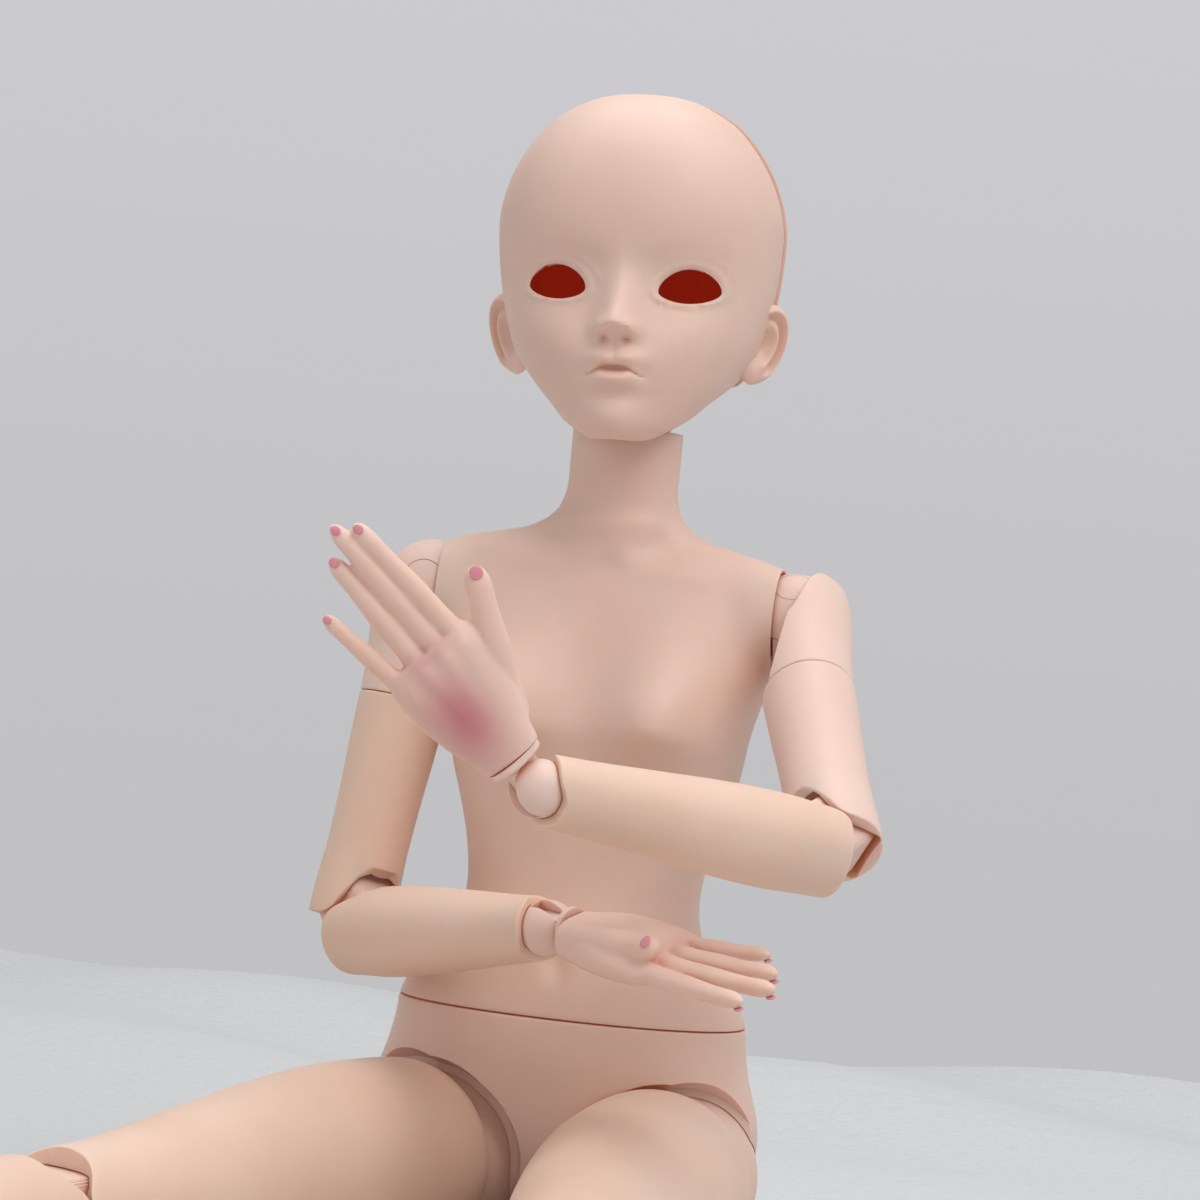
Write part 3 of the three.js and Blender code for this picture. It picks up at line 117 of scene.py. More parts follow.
FIRST_COLOUR, SECOND_COLOUR, MIXED_COLOUR = 6, 7, 2


def blend(tree, factor, first, second):
    """Mixes two colours, each a hex code or the output of another node."""
    mix = add_node(tree, "ShaderNodeMix", [(factor, "Factor")], data_type="RGBA")
    for i, colour in ((FIRST_COLOUR, first), (SECOND_COLOUR, second)):
        if isinstance(colour, str):
            mix.inputs[i].default_value = linear(colour)
        else:
            tree.links.new(colour, mix.inputs[i])
    return mix.outputs[MIXED_COLOUR]


def noise(tree, size, detail):
    """Noise of a size in metres, in the piece's own space."""
    place = add_node(tree, "ShaderNodeTexCoord")
    return add_node(tree, "ShaderNodeTexNoise", [(place.outputs["Object"], "Vector")],
                    Scale=1 / size, Detail=detail).outputs["Fac"]


def principled(tree, links, **settings):
    """The shader of a surface, joined to the material's output."""
    shader = add_node(tree, "ShaderNodeBsdfPrincipled", links, **settings)
    add_node(tree, "ShaderNodeOutputMaterial", [(shader.outputs["BSDF"], "Surface")])


# %% [markdown]
# The doll is cast in tinted urethane resin, rubbed down to a soft satin. Light sinks a little way into
# it and comes back warmer, the tone clouds slightly over a few centimetres, and the rubbing leaves
# a fine grain. Seams and folds get painted shade and a painted glow: where little open sky reaches a
# point, its colour is mixed toward a deep orange and it gives off a faint orange light, so the crevices
# glow orange instead of going black. The blush on the hands is chalk pastel, kept as a value on each
# point of the mesh and mixed over the resin.

# %% Cast resin
CLOUD_SIZE = 32 * MM
GRAIN_SIZE = 0.45 * MM
# How far the painted shade and painted glow of seams and folds reach, their two colours and the glow's strength
PAINTED_SHADE_REACH, PAINTED_CREVICE_SHADE, PAINTED_CREVICE_GLOW, PAINTED_GLOW_STRENGTH = 3 * MM, "#c98a68", "#b07048", 0.13
SINK_SHARE, SINK_DEPTH, SINK_COLOURS = 0.3, 4 * MM, (1.0, 0.45, 0.28)


def cast_resin(name, tone, shade, blush="#d88a92", roughness=0.5):
    material, tree = new_material(name)
    clouds = noise(tree, CLOUD_SIZE, 3.0)
    spread = add_node(tree, "ShaderNodeMapRange", [(clouds, "Value")], From_Min=0.3, From_Max=0.7)
    paint = add_node(tree, "ShaderNodeAttribute", attribute_name="blush")
    tint = blend(tree, paint.outputs["Fac"], blend(tree, spread.outputs["Result"], tone, shade), blush)
    # Painted shade and painted glow: where ambient occlusion finds little open sky, the colour is mixed toward a
    # deep orange and the surface gives off a faint orange light
    open_sky = add_node(tree, "ShaderNodeAmbientOcclusion", samples=6, Distance=PAINTED_SHADE_REACH)
    painted_crevice = add_node(tree, "ShaderNodeMapRange", [(open_sky.outputs["AO"], "Value")],
                       From_Min=0.05, From_Max=0.62, To_Min=1.0, To_Max=0.0).outputs["Result"]
    painted_glow = add_node(tree, "ShaderNodeMath", [(painted_crevice, 0)], operation="MULTIPLY")
    painted_glow.inputs[1].default_value = PAINTED_GLOW_STRENGTH
    dull = add_node(tree, "ShaderNodeMapRange", [(clouds, "Value")],
                    From_Min=0.2, From_Max=0.8, To_Min=roughness - 0.05, To_Max=roughness + 0.06)
    bump = add_node(tree, "ShaderNodeBump", [(noise(tree, GRAIN_SIZE, 2.0), "Height")],
                    Strength=0.08, Distance=0.05 * MM)
    body = blend(tree, painted_crevice, tint, PAINTED_CREVICE_SHADE)
    principled(tree, [(body, "Base Color"), (dull.outputs["Result"], "Roughness"),
                      (bump.outputs["Normal"], "Normal"), (painted_glow.outputs[0], "Emission Strength")],
               IOR=1.5, Specular_IOR_Level=0.35, Emission_Color=linear(PAINTED_CREVICE_GLOW),
               Subsurface_Weight=SINK_SHARE, Subsurface_Scale=SINK_DEPTH, Subsurface_Radius=SINK_COLOURS)
    return material


flesh_resin = cast_resin("flesh_cast_resin", "#e8c8b8", "#e2bfae")
limb_resin = cast_resin("limb_cast_resin", "#ebccb9", "#e5c2ac")
joint_resin = cast_resin("joint_cast_resin", "#edcfc2", "#e8c6b7")
hand_resin = cast_resin("hand_cast_resin", "#edcdbd", "#e7c2b0", blush="#c9757f")
inner_resin = cast_resin("inner_cast_resin", "#d9bfae", "#cfb19e", roughness=0.62)

# %% [markdown]
# Inside, the head is painted a deep orange red, standing in for the light that comes through its thin
# walls, and it gives off a little of that colour as a painted glow, so the empty eye holes glow. The
# pins, the neck's cross and the magnets are steel, with faint lines along the draw. The nails are a
# pink gloss lacquer over the resin.

# %% Painted inner glow, drawn steel and nail lacquer
GLOW_MOTTLE_SIZE, LINE_SIZE, BRUSH_SIZE = 9 * MM, 0.6 * MM, 1.5 * MM


def painted_inner_glow():
    material, tree = new_material("red_painted_inner_glow")
    # Painted light: the mottled red stands for light that came through the thin resin walls, and the same red is
    # given off as a painted glow
    body = blend(tree, noise(tree, GLOW_MOTTLE_SIZE, 4.0), "#d8452a", "#b93a20")
    principled(tree, [(body, "Base Color"), (body, "Emission Color")],
               Roughness=0.7, IOR=1.48, Emission_Strength=0.14)
    return material


def drawn_steel():
    material, tree = new_material("drawn_steel_wire")
    lines = noise(tree, LINE_SIZE, 2.0)
    dull = add_node(tree, "ShaderNodeMapRange", [(lines, "Value")], To_Min=0.28, To_Max=0.42)
    body = blend(tree, lines, "#a9abae", "#c4c6c8")
    principled(tree, [(body, "Base Color"), (dull.outputs["Result"], "Roughness")], Metallic=1.0)
    return material


def nail_lacquer():
    material, tree = new_material("pink_nail_lacquer")
    body = blend(tree, noise(tree, BRUSH_SIZE, 2.0), "#e59ba4", "#dd8b97")
    principled(tree, [(body, "Base Color")], Roughness=0.25, IOR=1.5)
    return material


painted_red_glow = painted_inner_glow()
steel = drawn_steel()
lacquer = nail_lacquer()

# %% [markdown]
# Most of the doll's forms are tubes: a limb, the torso, a finger, even the skull is a stack of rings.
# A cylinder primitive is subdivided along its length in edit mode, and each ring of points is then
# put where a table of the real sections says. The table is in shares of the piece's own sizes.

# %% Tubes from a cylinder
def clear_selection():
    if bpy.context.object and bpy.context.object.mode != "OBJECT":
        bpy.ops.object.mode_set(mode="OBJECT")
    bpy.ops.object.select_all(action="DESELECT")


def edit_all(piece, *steps):
    """Runs edit mode operators on all of a piece."""
    clear_selection()
    piece.select_set(True)
    bpy.context.view_layer.objects.active = piece
    bpy.ops.object.mode_set(mode="EDIT")
    bpy.ops.mesh.select_all(action="SELECT")
    for step in steps:
        step()
    bpy.ops.object.mode_set(mode="OBJECT")
    piece.select_set(False)


def point_array(piece):
    flat = np.zeros(len(piece.data.vertices) * 3, np.float32)
    piece.data.vertices.foreach_get("co", flat)
    return flat.reshape(-1, 3).astype(float)


def put_points(piece, points):
    piece.data.vertices.foreach_set("co", np.asarray(points, np.float32).ravel())
    piece.data.update()


def outward():
    bpy.ops.mesh.normals_make_consistent(inside=False)


def loft(name, rings):
    """A closed skin over rings of points, all with the same number of points."""
    rings = np.asarray(rings, float)
    count, sides = rings.shape[:2]
    clear_selection()
    bpy.ops.mesh.primitive_cylinder_add(vertices=sides, radius=1, depth=2, end_fill_type="TRIFAN")
    piece = bpy.context.object
    piece.name = name
    bpy.ops.object.mode_set(mode="EDIT")
    bpy.ops.mesh.select_all(action="DESELECT")
    mesh = bmesh.from_edit_mesh(piece.data)
    for edge in mesh.edges:
        edge.select = abs(edge.verts[0].co.z - edge.verts[1].co.z) > 1
    bmesh.update_edit_mesh(piece.data)
    bpy.ops.mesh.subdivide(number_cuts=count - 2)
    bpy.ops.object.mode_set(mode="OBJECT")
    start = point_array(piece)
    ring = np.rint((start[:, 2] + 1) / 2 * (count - 1)).astype(int)
    place = np.rint(np.arctan2(start[:, 1], start[:, 0]) / TAU * sides).astype(int) % sides
    shaped = rings[ring, place]
    middle = np.hypot(start[:, 0], start[:, 1]) < 0.5
    shaped[middle] = rings[ring[middle]].mean(axis=1)
    put_points(piece, shaped)
    edit_all(piece, outward)
    return piece


# %% [markdown]
# The tables are read as smooth curves. A section is wide, with its own depth to the front and to the
# back, and a squareness, where two is an ellipse.

# %% Smooth tables and sections
def smoothstep(value, low, high):
    t = np.clip((np.asarray(value, float) - low) / (high - low), 0, 1)
    return t * t * (3 - 2 * t)


def hill(offset, width, other=0, other_width=1):
    """A smooth swelling that fades away from its middle, in one direction or in two."""
    return np.exp(-((offset / width) ** 2 + (other / other_width) ** 2))


def sample(rows, place):
    rows = np.asarray(rows, float)
    place = np.atleast_1d(np.asarray(place, float))
    i = np.clip(np.searchsorted(rows[:, 0], place) - 1, 0, len(rows) - 2)
    before, start = rows[np.maximum(i - 1, 0)], rows[i]
    end, after = rows[i + 1], rows[np.minimum(i + 2, len(rows) - 1)]
    span = (end - start)[:, :1]
    t = np.clip((place[:, None] - start[:, :1]) / span, 0, 1)
    first = (end - before) / (end - before)[:, :1] * span
    last = (after - start) / (after - start)[:, :1] * span
    rise = end - start
    return start + t * (first + t * (3 * rise - 2 * first - last + t * (first + last - 2 * rise)))


def section_radius(angle, wide, front, back, square):
    across = np.abs(np.cos(angle)) / wide
    along = np.abs(np.sin(angle)) / np.where(np.sin(angle) < 0, front, back)
    return (across ** square + along ** square) ** (-1 / square)


def ring_of(sides, section_at, height_at, inset=0.0):
    """One ring; its height may change round it, and its section with that height."""
    angle = TAU * np.arange(sides) / sides
    x = y = np.zeros(sides)
    for _ in range(5):
        z = np.broadcast_to(height_at(x, y), (sides,)).astype(float)
        radius = np.maximum(section_radius(angle, *section_at(z)) - inset, 0.02)
        x, y = radius * np.cos(angle), radius * np.sin(angle)
    return np.stack([x, y, z], axis=1)


def level_rings(sides, section_at, levels):
    return [ring_of(sides, section_at, lambda x, y, z=z: z) for z in levels]


def sections(rows, length, size):
    """Section values at a height below the joint, from a table in shares of length and size."""
    def section_at(z):
        values = sample(rows, -z / length)
        square = values[:, 4] if values.shape[1] > 4 else np.full(len(values), 2.0)
        return values[:, 1] * size, values[:, 2] * size, values[:, 3] * size, square
    return section_at


def edge_rings(sides, section_at, height_at, away, radius):
    """Rings that round an end's edge: away is +1 where the end faces up."""
    turns = np.radians([0, 22, 45, 68, 90])
    return [ring_of(sides, section_at, lambda x, y, t=t: height_at(x, y) - away * radius * (1 - math.sin(t)),
                    inset=radius * (1 - math.cos(t))) for t in turns]


def limb(name, sides, section_at, low, high, low_rim=None, high_rim=None, steps=40, edge=0.5):
    """A limb between two levels; a rim function gives an end its shape beyond its level."""
    high_at = high_rim or (lambda x, y: high)
    low_at = low_rim or (lambda x, y: low)
    rings = edge_rings(sides, section_at, high_at, 1, edge)[::-1]
    if high_rim:
        rings += [ring_of(sides, section_at, lambda x, y, s=s: high + (high_rim(x, y) - edge - high) * s)
                  for s in np.linspace(1, 0, 10)[1:-1]]
    top = high if high_rim else high - edge
    bottom = low if low_rim else low + edge
    levels = np.linspace(top, bottom, steps)[0 if high_rim else 1:]
    rings += level_rings(sides, section_at, levels)
    if low_rim:
        rings += [ring_of(sides, section_at, lambda x, y, s=s: low + (low_rim(x, y) + edge - low) * s)
                  for s in np.linspace(0, 1, 10)[1:-1]]
        rings += edge_rings(sides, section_at, low_at, -1, edge)
    else:
        rings = rings[:-1] + edge_rings(sides, section_at, low_at, -1, edge)
    return loft(name, rings)


# %% [markdown]
# Sockets, slots and pin holes are cut as on a milling machine: a plain tool is set in place and the
# boolean modifier takes it away. The tools are primitives with many sides, so the cut walls are round.

# %% Cutting tools
FIT, PIN_FIT = 0.22, 0.15
OVERRUN = 4
PIN_SIDES, ROUND_SIDES, FINE_SIDES = 32, 64, 96
BAR_TURNS = {"x": Matrix.Rotation(math.pi / 2, 4, "Y"), "y": Matrix.Rotation(-math.pi / 2, 4, "X"), "z": Matrix()}


def bar(axis, radius, start, end, sides=ROUND_SIDES):
    """A round bar along one axis."""
    clear_selection()
    bpy.ops.mesh.primitive_cone_add(vertices=sides, radius1=radius, radius2=radius, depth=abs(end - start))
    piece = bpy.context.object
    middle = Vector([(start + end) / 2 if a == axis else 0 for a in "xyz"])
    piece.data.transform(Matrix.Translation(middle) @ BAR_TURNS[axis])
    return piece


def ball(radius, sides=ROUND_SIDES):
    clear_selection()
    bpy.ops.mesh.primitive_uv_sphere_add(segments=sides, ring_count=sides // 2, radius=radius)
    return bpy.context.object


def block(low, high):
    clear_selection()
    bpy.ops.mesh.primitive_cube_add(size=1)
    piece = bpy.context.object
    size, middle = [b - a for a, b in zip(low, high)], [(a + b) / 2 for a, b in zip(low, high)]
    piece.data.transform(Matrix.Translation(middle) @ Matrix.Diagonal((*size, 1)))
    return piece


def moved(piece, x=0, y=0, z=0):
    piece.data.transform(Matrix.Translation((x, y, z)))
    return piece


def turned(piece, axis, degrees):
    piece.data.transform(Matrix.Rotation(math.radians(degrees), 4, axis.upper()))
    return piece


def plate(outline, half):
    """A flat outline in XZ, thick along Y."""
    clear_selection()
    bpy.ops.mesh.primitive_circle_add(vertices=len(outline), radius=1, fill_type="NGON")
    piece = bpy.context.object
    put_points(piece, [(x, -half, z) for x, z in outline])
    edit_all(piece, lambda: bpy.ops.mesh.extrude_region_move(TRANSFORM_OT_translate={"value": (0, 2 * half, 0)}))
    edit_all(piece, outward)
    return piece


def change(piece, kind, **settings):
    """Adds a modifier to a piece and applies it."""
    modifier = piece.modifiers.new(kind.lower(), kind)
    for key, value in settings.items():
        setattr(modifier, key, value)
    clear_selection()
    bpy.context.view_layer.objects.active = piece
    bpy.ops.object.modifier_apply(modifier=modifier.name)


def combine(piece, operation, tools):
    for tool in tools:
        change(piece, "BOOLEAN", operation=operation, solver="MANIFOLD", object=tool)
        bpy.data.objects.remove(tool)
    return piece


def cut(piece, *tools):
    return combine(piece, "DIFFERENCE", tools)


def join(piece, *others):
    return combine(piece, "UNION", others)


def common(piece, *others):
    return combine(piece, "INTERSECT", others)


# %% [markdown]
# Every body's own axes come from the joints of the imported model: a limb's up runs from one pivot to
# the next, and its hinge gives its side way. Only the turn of the hands, the feet and the head has
# to be stated, because nothing hangs from them.

# %% Where each body stands
HEAD_TURN, HEAD_NOD, HEAD_TILT = 3, -2, -2.5
HAND_TURN = {"left": 26.1, "right": 82.9}
ANKLE_BEND = 8
RIM_HEIGHT = 68
CHIN_BELOW = 15.5


def pivot(name):
    return Vector(JOINTS[name]["pos_m"])


def axis_near(name, way):
    axis = Vector(JOINTS[name]["axis"])
    return axis if axis.dot(Vector(way)) > 0 else -axis


def spot(origin, up, x=None, y=None):
    """The matrix of a body from its origin, its up and one of its other two axes."""
    up = up.normalized()
    if y is None:
        y = up.cross(x)
    x = y.cross(up).normalized()
    y = up.cross(x)
    return Matrix.Translation(origin) @ Matrix((x, y, up)).transposed().to_4x4()


def spin(degrees, axis):
    return Matrix.Rotation(math.radians(degrees), 4, axis)


SPOTS = {"pelvis": Matrix(), "chest": Matrix.Translation((0, 0, RIM_HEIGHT * MM))}
SPOTS["head"] = (Matrix.Translation(pivot("neck_turn")) @ spin(HEAD_TURN, "Z") @ spin(HEAD_NOD, "X")
                 @ spin(HEAD_TILT, "Y") @ Matrix.Translation((0, 0, -CHIN_BELOW * MM)))
for name in ("left", "right"):
    shoulder, elbow = pivot(f"{name}_shoulder_swing"), pivot(f"{name}_elbow_upper")
    elbow_low, wrist = pivot(f"{name}_elbow_lower"), pivot(f"{name}_wrist_twist")
    arm_up, fore_up = (shoulder - elbow).normalized(), (elbow_low - wrist).normalized()
    raise_axis = axis_near(f"{name}_shoulder_raise", (0, 1, 0))
    fold = fore_up.cross(arm_up).normalized()
    SPOTS[f"{name}_shoulder"] = spot(shoulder, Vector((1, 0, 0)).cross(raise_axis), x=Vector((1, 0, 0)))
    SPOTS[f"{name}_arm_cap"] = spot(shoulder, arm_up, y=raise_axis)
    SPOTS[f"{name}_upper_arm"] = spot(pivot(f"{name}_arm_twist"), arm_up, x=fold)
    SPOTS[f"{name}_elbow"] = spot(elbow, elbow - elbow_low, x=fold)
    SPOTS[f"{name}_forearm"] = spot(elbow_low, fore_up, x=fold)
    bend_axis = axis_near(f"{name}_wrist_bend", SPOTS[f"{name}_forearm"].col[1].to_3d())
    hand_up = axis_near(f"{name}_hand_turn", fore_up)
    SPOTS[f"{name}_wrist"] = spot(wrist, fore_up, y=bend_axis)
    SPOTS[f"{name}_wrist_yoke"] = spot(wrist, hand_up, y=bend_axis)
    side = 1 if name == "left" else -1
    SPOTS[f"{name}_hand"] = SPOTS[f"{name}_wrist_yoke"] @ spin(HAND_TURN[name] * side, "Z")
    hip, knee = pivot(f"{name}_hip_swing"), pivot(f"{name}_knee_upper")
    spread_axis = axis_near(f"{name}_hip_spread", (0, 0, -1))
    SPOTS[f"{name}_hip"] = spot(hip, Vector((1, 0, 0)).cross(spread_axis), x=Vector((1, 0, 0)))
    SPOTS[f"{name}_thigh"] = spot(hip, hip - knee, y=spread_axis)
    for part, joint in (("knee", "knee_upper"), ("calf", "knee_lower"), ("ankle", "ankle_twist")):
        SPOTS[f"{name}_{part}"] = spot(pivot(f"{name}_{joint}"), hip - knee, y=spread_axis)
    SPOTS[f"{name}_foot"] = SPOTS[f"{name}_ankle"] @ spin(ANKLE_BEND, "X")
print(len(SPOTS), "bodies placed")


def settle(piece, name, body, material, slot, stands_for=(), smooth=35, place=None):
    """Puts a finished piece in its place, gives it its finish and its body."""
    piece.name = piece.data.name = name
    piece.data.transform((place or SPOTS[body]) @ Matrix.Scale(MM, 4))
    for i, used in enumerate(material if isinstance(material, tuple) else (material,)):
        if i < len(piece.data.materials):
            piece.data.materials[i] = used
        else:
            piece.data.materials.append(used)
    clear_selection()
    piece.select_set(True)
    bpy.context.view_layer.objects.active = piece
    bpy.ops.object.shade_smooth_by_angle(angle=math.radians(smooth))
    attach(piece, body)
    if stands_for:
        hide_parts(*stands_for)
    return piece


def settle_side(side_name, piece, name, body, material, node, slot="pale_plastic", **more):
    """Settles a piece of one side: its name, body and node all start with the side's name."""
    settle(piece, f"{side_name}_{name}", f"{side_name}_{body}", material, slot, [f"{side_name}_{node}"], **more)


def paint(piece, values):
    """Stores the blush of each point, from 0 for bare resin to 1 for full colour."""
    layer = piece.data.attributes.new("blush", "FLOAT", "POINT")
    layer.data.foreach_set("value", np.clip(values, 0, 1).astype(np.float32))


# %% [markdown]
# The chest is one casting with the neck: a waist, ribs, a bust and sloping shoulders. Its sections
# come from a table up its height, and soft bumps raise the bust and the collar bones. The armholes
# are flat faces with a round socket in each.

# %% The chest
TORSO_SIDES = 160
RIM_HALF_WIDTH, RIM_HALF_DEPTH = 41.6, 26
CHEST_HEIGHT = 137.7
ARMHOLE_HALF_SPAN, ARMHOLE_EDGE, ARMHOLE_RIM = 41.2, 40.2, 12
SHOULDER_HALF_SPAN, SHOULDER_HEIGHT, SHOULDER_BALL, BARREL_DEPTH = 43.9, 96.3, 11.3, 9
NECK_PIVOT_ABOVE, NECK_SEAT, NECK_STEM, NECK_BORE_LOW, NECK_BORE_HIGH = 10.5, 14.2, 2.6, 122, 150
NECK_ROOT_HALF_WIDTH, NECK_ROOT_HALF_DEPTH = 13.9, 12.2
WAIST_STUB, WAIST_STUB_HEIGHT, WAIST_BALL, WAIST_PEG, WAIST_PEG_LENGTH = 15, 9, 9, 5, 12
CHEST_SHARES = [
    [0, 1, 1, 1, 2.1], [0.03, 0.958, 0.985, 0.985, 2.1], [0.057, 0.892, 0.962, 0.962, 2.1],
    [0.1, 0.78, 0.908, 0.885, 2.1], [0.147, 0.7, 0.831, 0.75, 2.1], [0.203, 0.67, 0.769, 0.654, 2.1],
    [0.28, 0.7, 0.754, 0.631, 2.15], [0.35, 0.762, 0.785, 0.654, 2.2], [0.413, 0.825, 0.823, 0.708, 2.2],
    [0.497, 0.866, 0.819, 0.769, 2.3], [0.58, 0.935, 0.769, 0.808, 2.4], [0.66, 0.985, 0.673, 0.79, 2.4],
    [0.72, 1.004, 0.58, 0.7, 2.3], [0.75, 1.003, 0.51, 0.62, 2.2], [0.77, 1, 0.455, 0.56, 2.1],
    [0.785, 0.985, 0.4, 0.5, 2.1], [0.793, 0.9, 0.37, 0.47, 2], [0.802, 0.78, 0.35, 0.45, 2],
    [0.813, 0.6, 0.35, 0.45, 2], [0.83, 0.455, 0.39, 0.46, 2], [0.853, 0.365, 0.43, 0.48, 2],
    [0.876, 0.33, 0.445, 0.48, 2], [0.9, 0.315, 0.45, 0.47, 2], [0.94, 0.315, 0.47, 0.48, 2],
    [1, 0.315, 0.475, 0.475, 2],
]
# side, height, width, size above, size below, push
BUST_FORMS = [(18.4, 68.5, 8.9, 12.5, 5.6, 13.2), (-18.4, 68.5, 8.9, 12.5, 5.6, 13.2)]
COLLAR_BONE, COLLAR_NOTCH = (16.5, 105, 8.2, 2.2, 2.2, 1.3), (0, 106.5, 2.6, 2.4, 2.6, -0.9)
NAVEL = (0, 11.5, 1.9, 2.3, 2.3, -1.6)


def torso_section(rows, height):
    def section_at(z):
        _, wide, front, back, square = sample(rows, z / height).T
        return wide * RIM_HALF_WIDTH, front * RIM_HALF_DEPTH, back * RIM_HALF_DEPTH, square
    return section_at


def bump(x, z, x0, z0, width, up, down, amount):
    """A soft swelling of the surface, with its own size above and below its middle."""
    drop = np.where(z > z0, up, down)
    return amount * np.exp(-(((x - x0) / width) ** 2 + ((z - z0) / drop) ** 2) / 2)


def torso(name, rows, height, edge, steps):
    section_at = torso_section(rows, height)
    levels = np.linspace(edge, height - edge, steps)[1:-1]
    rings = edge_rings(TORSO_SIDES, section_at, lambda x, y: 0, -1, edge)[::-1]
    rings += level_rings(TORSO_SIDES, section_at, levels)
    rings += edge_rings(TORSO_SIDES, section_at, lambda x, y: height, 1, edge)
    return loft(name, rings)


chest = torso("chest", CHEST_SHARES, CHEST_HEIGHT, 0.35, 150)
points = point_array(chest)
x, y, z = points.T
# The neck's root keeps its own depth between the thin shoulders
root = NECK_ROOT_HALF_DEPTH * np.sqrt(np.clip(1 - (x / NECK_ROOT_HALF_WIDTH) ** 2, 0, 1))
root = root * smoothstep(z, 98, 108) * (1 - smoothstep(z, 116, NECK_BORE_LOW))
deep = (np.abs(y) ** 6 + root ** 6) ** (1 / 6)
# Round each armhole the shoulder swells to a round rim that takes the ball
rim = np.sqrt(np.clip(ARMHOLE_RIM ** 2 - (z - SHOULDER_HEIGHT) ** 2, 0, None)) * smoothstep(np.abs(x), 20, 37)
deep = (deep ** 5 + rim ** 5) ** (1 / 5)
y = points[:, 1] = np.where(np.abs(y) > 0.01, np.sign(y) * deep, y)
facing = smoothstep(-y, 0, RIM_HALF_DEPTH / 3)
push = sum(bump(x, z, *form) for form in (*BUST_FORMS, COLLAR_NOTCH, NAVEL)) + bump(np.abs(x), z, *COLLAR_BONE)
points[:, 1] -= push * facing * (y <= 0)
put_points(chest, points)
neck_pivot = CHEST_HEIGHT + NECK_PIVOT_ABOVE
armholes = [block((s * ARMHOLE_EDGE if s > 0 else -60, -50, CHEST_HEIGHT / 2),
                  (60 if s > 0 else -ARMHOLE_EDGE, 50, CHEST_HEIGHT)) for s in (1, -1)]
sockets = [moved(bar("x", SHOULDER_BALL + FIT, s * (ARMHOLE_HALF_SPAN - BARREL_DEPTH - FIT), s * 50),
                 z=SHOULDER_HEIGHT) for s in (1, -1)]
cut(chest, *armholes, *sockets, moved(ball(NECK_SEAT), z=neck_pivot),
    bar("z", WAIST_STUB + FIT, -OVERRUN, WAIST_STUB_HEIGHT + FIT),
    bar("z", WAIST_PEG + FIT, 0, WAIST_STUB_HEIGHT + WAIST_PEG_LENGTH + FIT),
    bar("z", NECK_STEM + FIT, NECK_BORE_LOW, NECK_BORE_HIGH))
settle(chest, "chest_skin", "chest", flesh_resin, "flesh_plastic", ["chest"])
print("chest", len(chest.data.polygons), "faces")

# %% [markdown]
# The pelvis carries the waist above and the round hip sockets below. Each thigh swings through a room
# of its own, so the pelvis is cut by the thigh's form at many turns, which leaves the arched groin.

# %% The pelvis
RIM_GAP = 0.4
HIP_HALF_SPAN, HIP_BACK, HIP_HEIGHT, HIP_BALL, HIP_PEG = 26.8, -5, 32.2, 21.8, 10
THIGH_LENGTH, THIGH_RADIUS, THIGH_RIM = 131, 25.4, 0.5
LEG_TURNS = [(a, 2) for a in range(2, 92, 6)] + [(a, 32) for a in range(60, 96, 7)]
LEG_TURNS += [(a, b) for a in (76, 91) for b in (9, 17, 25)]
PELVIS_SHARES = [
    [0, 0.62, 0.12, 1.02, 2.2], [0.04, 0.78, 0.32, 1.14, 2.2], [0.12, 0.9, 0.5, 1.25, 2.2],
    [0.25, 1.02, 0.62, 1.33, 2.2], [0.45, 1.1, 0.75, 1.33, 2.2], [0.65, 1.12, 0.88, 1.23, 2.2],
    [0.85, 1.035, 0.98, 1.08, 2.1], [0.94, 1.008, 1, 1.02, 2.1], [1, 1, 1, 1, 2.1],
]
THIGH_ROWS = [
    [0.07, 0.8, 0.8, 0.8], [0.105, 0.885, 0.885, 0.885], [0.15, 0.93, 0.925, 0.94], [0.25, 0.965, 0.95, 0.975],
    [0.35, 0.97, 0.955, 0.985], [0.5, 0.905, 0.9, 0.925], [0.7, 0.775, 0.785, 0.785], [0.86, 0.665, 0.685, 0.675],
    [0.95, 0.632, 0.645, 0.636], [1, 0.63, 0.64, 0.632], [1.1, 0.62, 0.62, 0.62],
]


def leg_room(swing, spread, side):
    thigh_at = sections(THIGH_ROWS, THIGH_LENGTH, THIGH_RADIUS)

    def grown(z):
        wide, front, back, square = thigh_at(z)
        return wide + FIT, front + FIT, back + FIT, square
    levels = np.linspace(-THIGH_RIM * HIP_BALL + 2 * FIT, -HIP_BALL * 2.8, 14)
    room = loft("room", level_rings(ROUND_SIDES, grown, levels))
    return moved(turned(turned(room, "y", -side * spread), "x", -swing), side * HIP_HALF_SPAN, HIP_BACK, HIP_HEIGHT)


pelvis = torso("pelvis", PELVIS_SHARES, RIM_HEIGHT - RIM_GAP, 0.4, 110)
join(pelvis, bar("z", WAIST_STUB, RIM_HEIGHT / 2, RIM_HEIGHT + 4))
for side in (1, -1):
    place = (side * HIP_HALF_SPAN, HIP_BACK, HIP_HEIGHT)
    cut(pelvis, moved(ball(HIP_BALL + FIT, FINE_SIDES), *place),
        moved(bar("x", HIP_PEG + FIT, side * 0.6, -side * 26), *place))
    cut(pelvis, *[leg_room(swing, spread, side) for swing, spread in LEG_TURNS])
cut(pelvis, moved(ball(WAIST_BALL + FIT), z=RIM_HEIGHT))
settle(pelvis, "pelvis_skin", "pelvis", flesh_resin, "pale_plastic", ["pelvis"])
print("pelvis", len(pelvis.data.polygons), "faces")
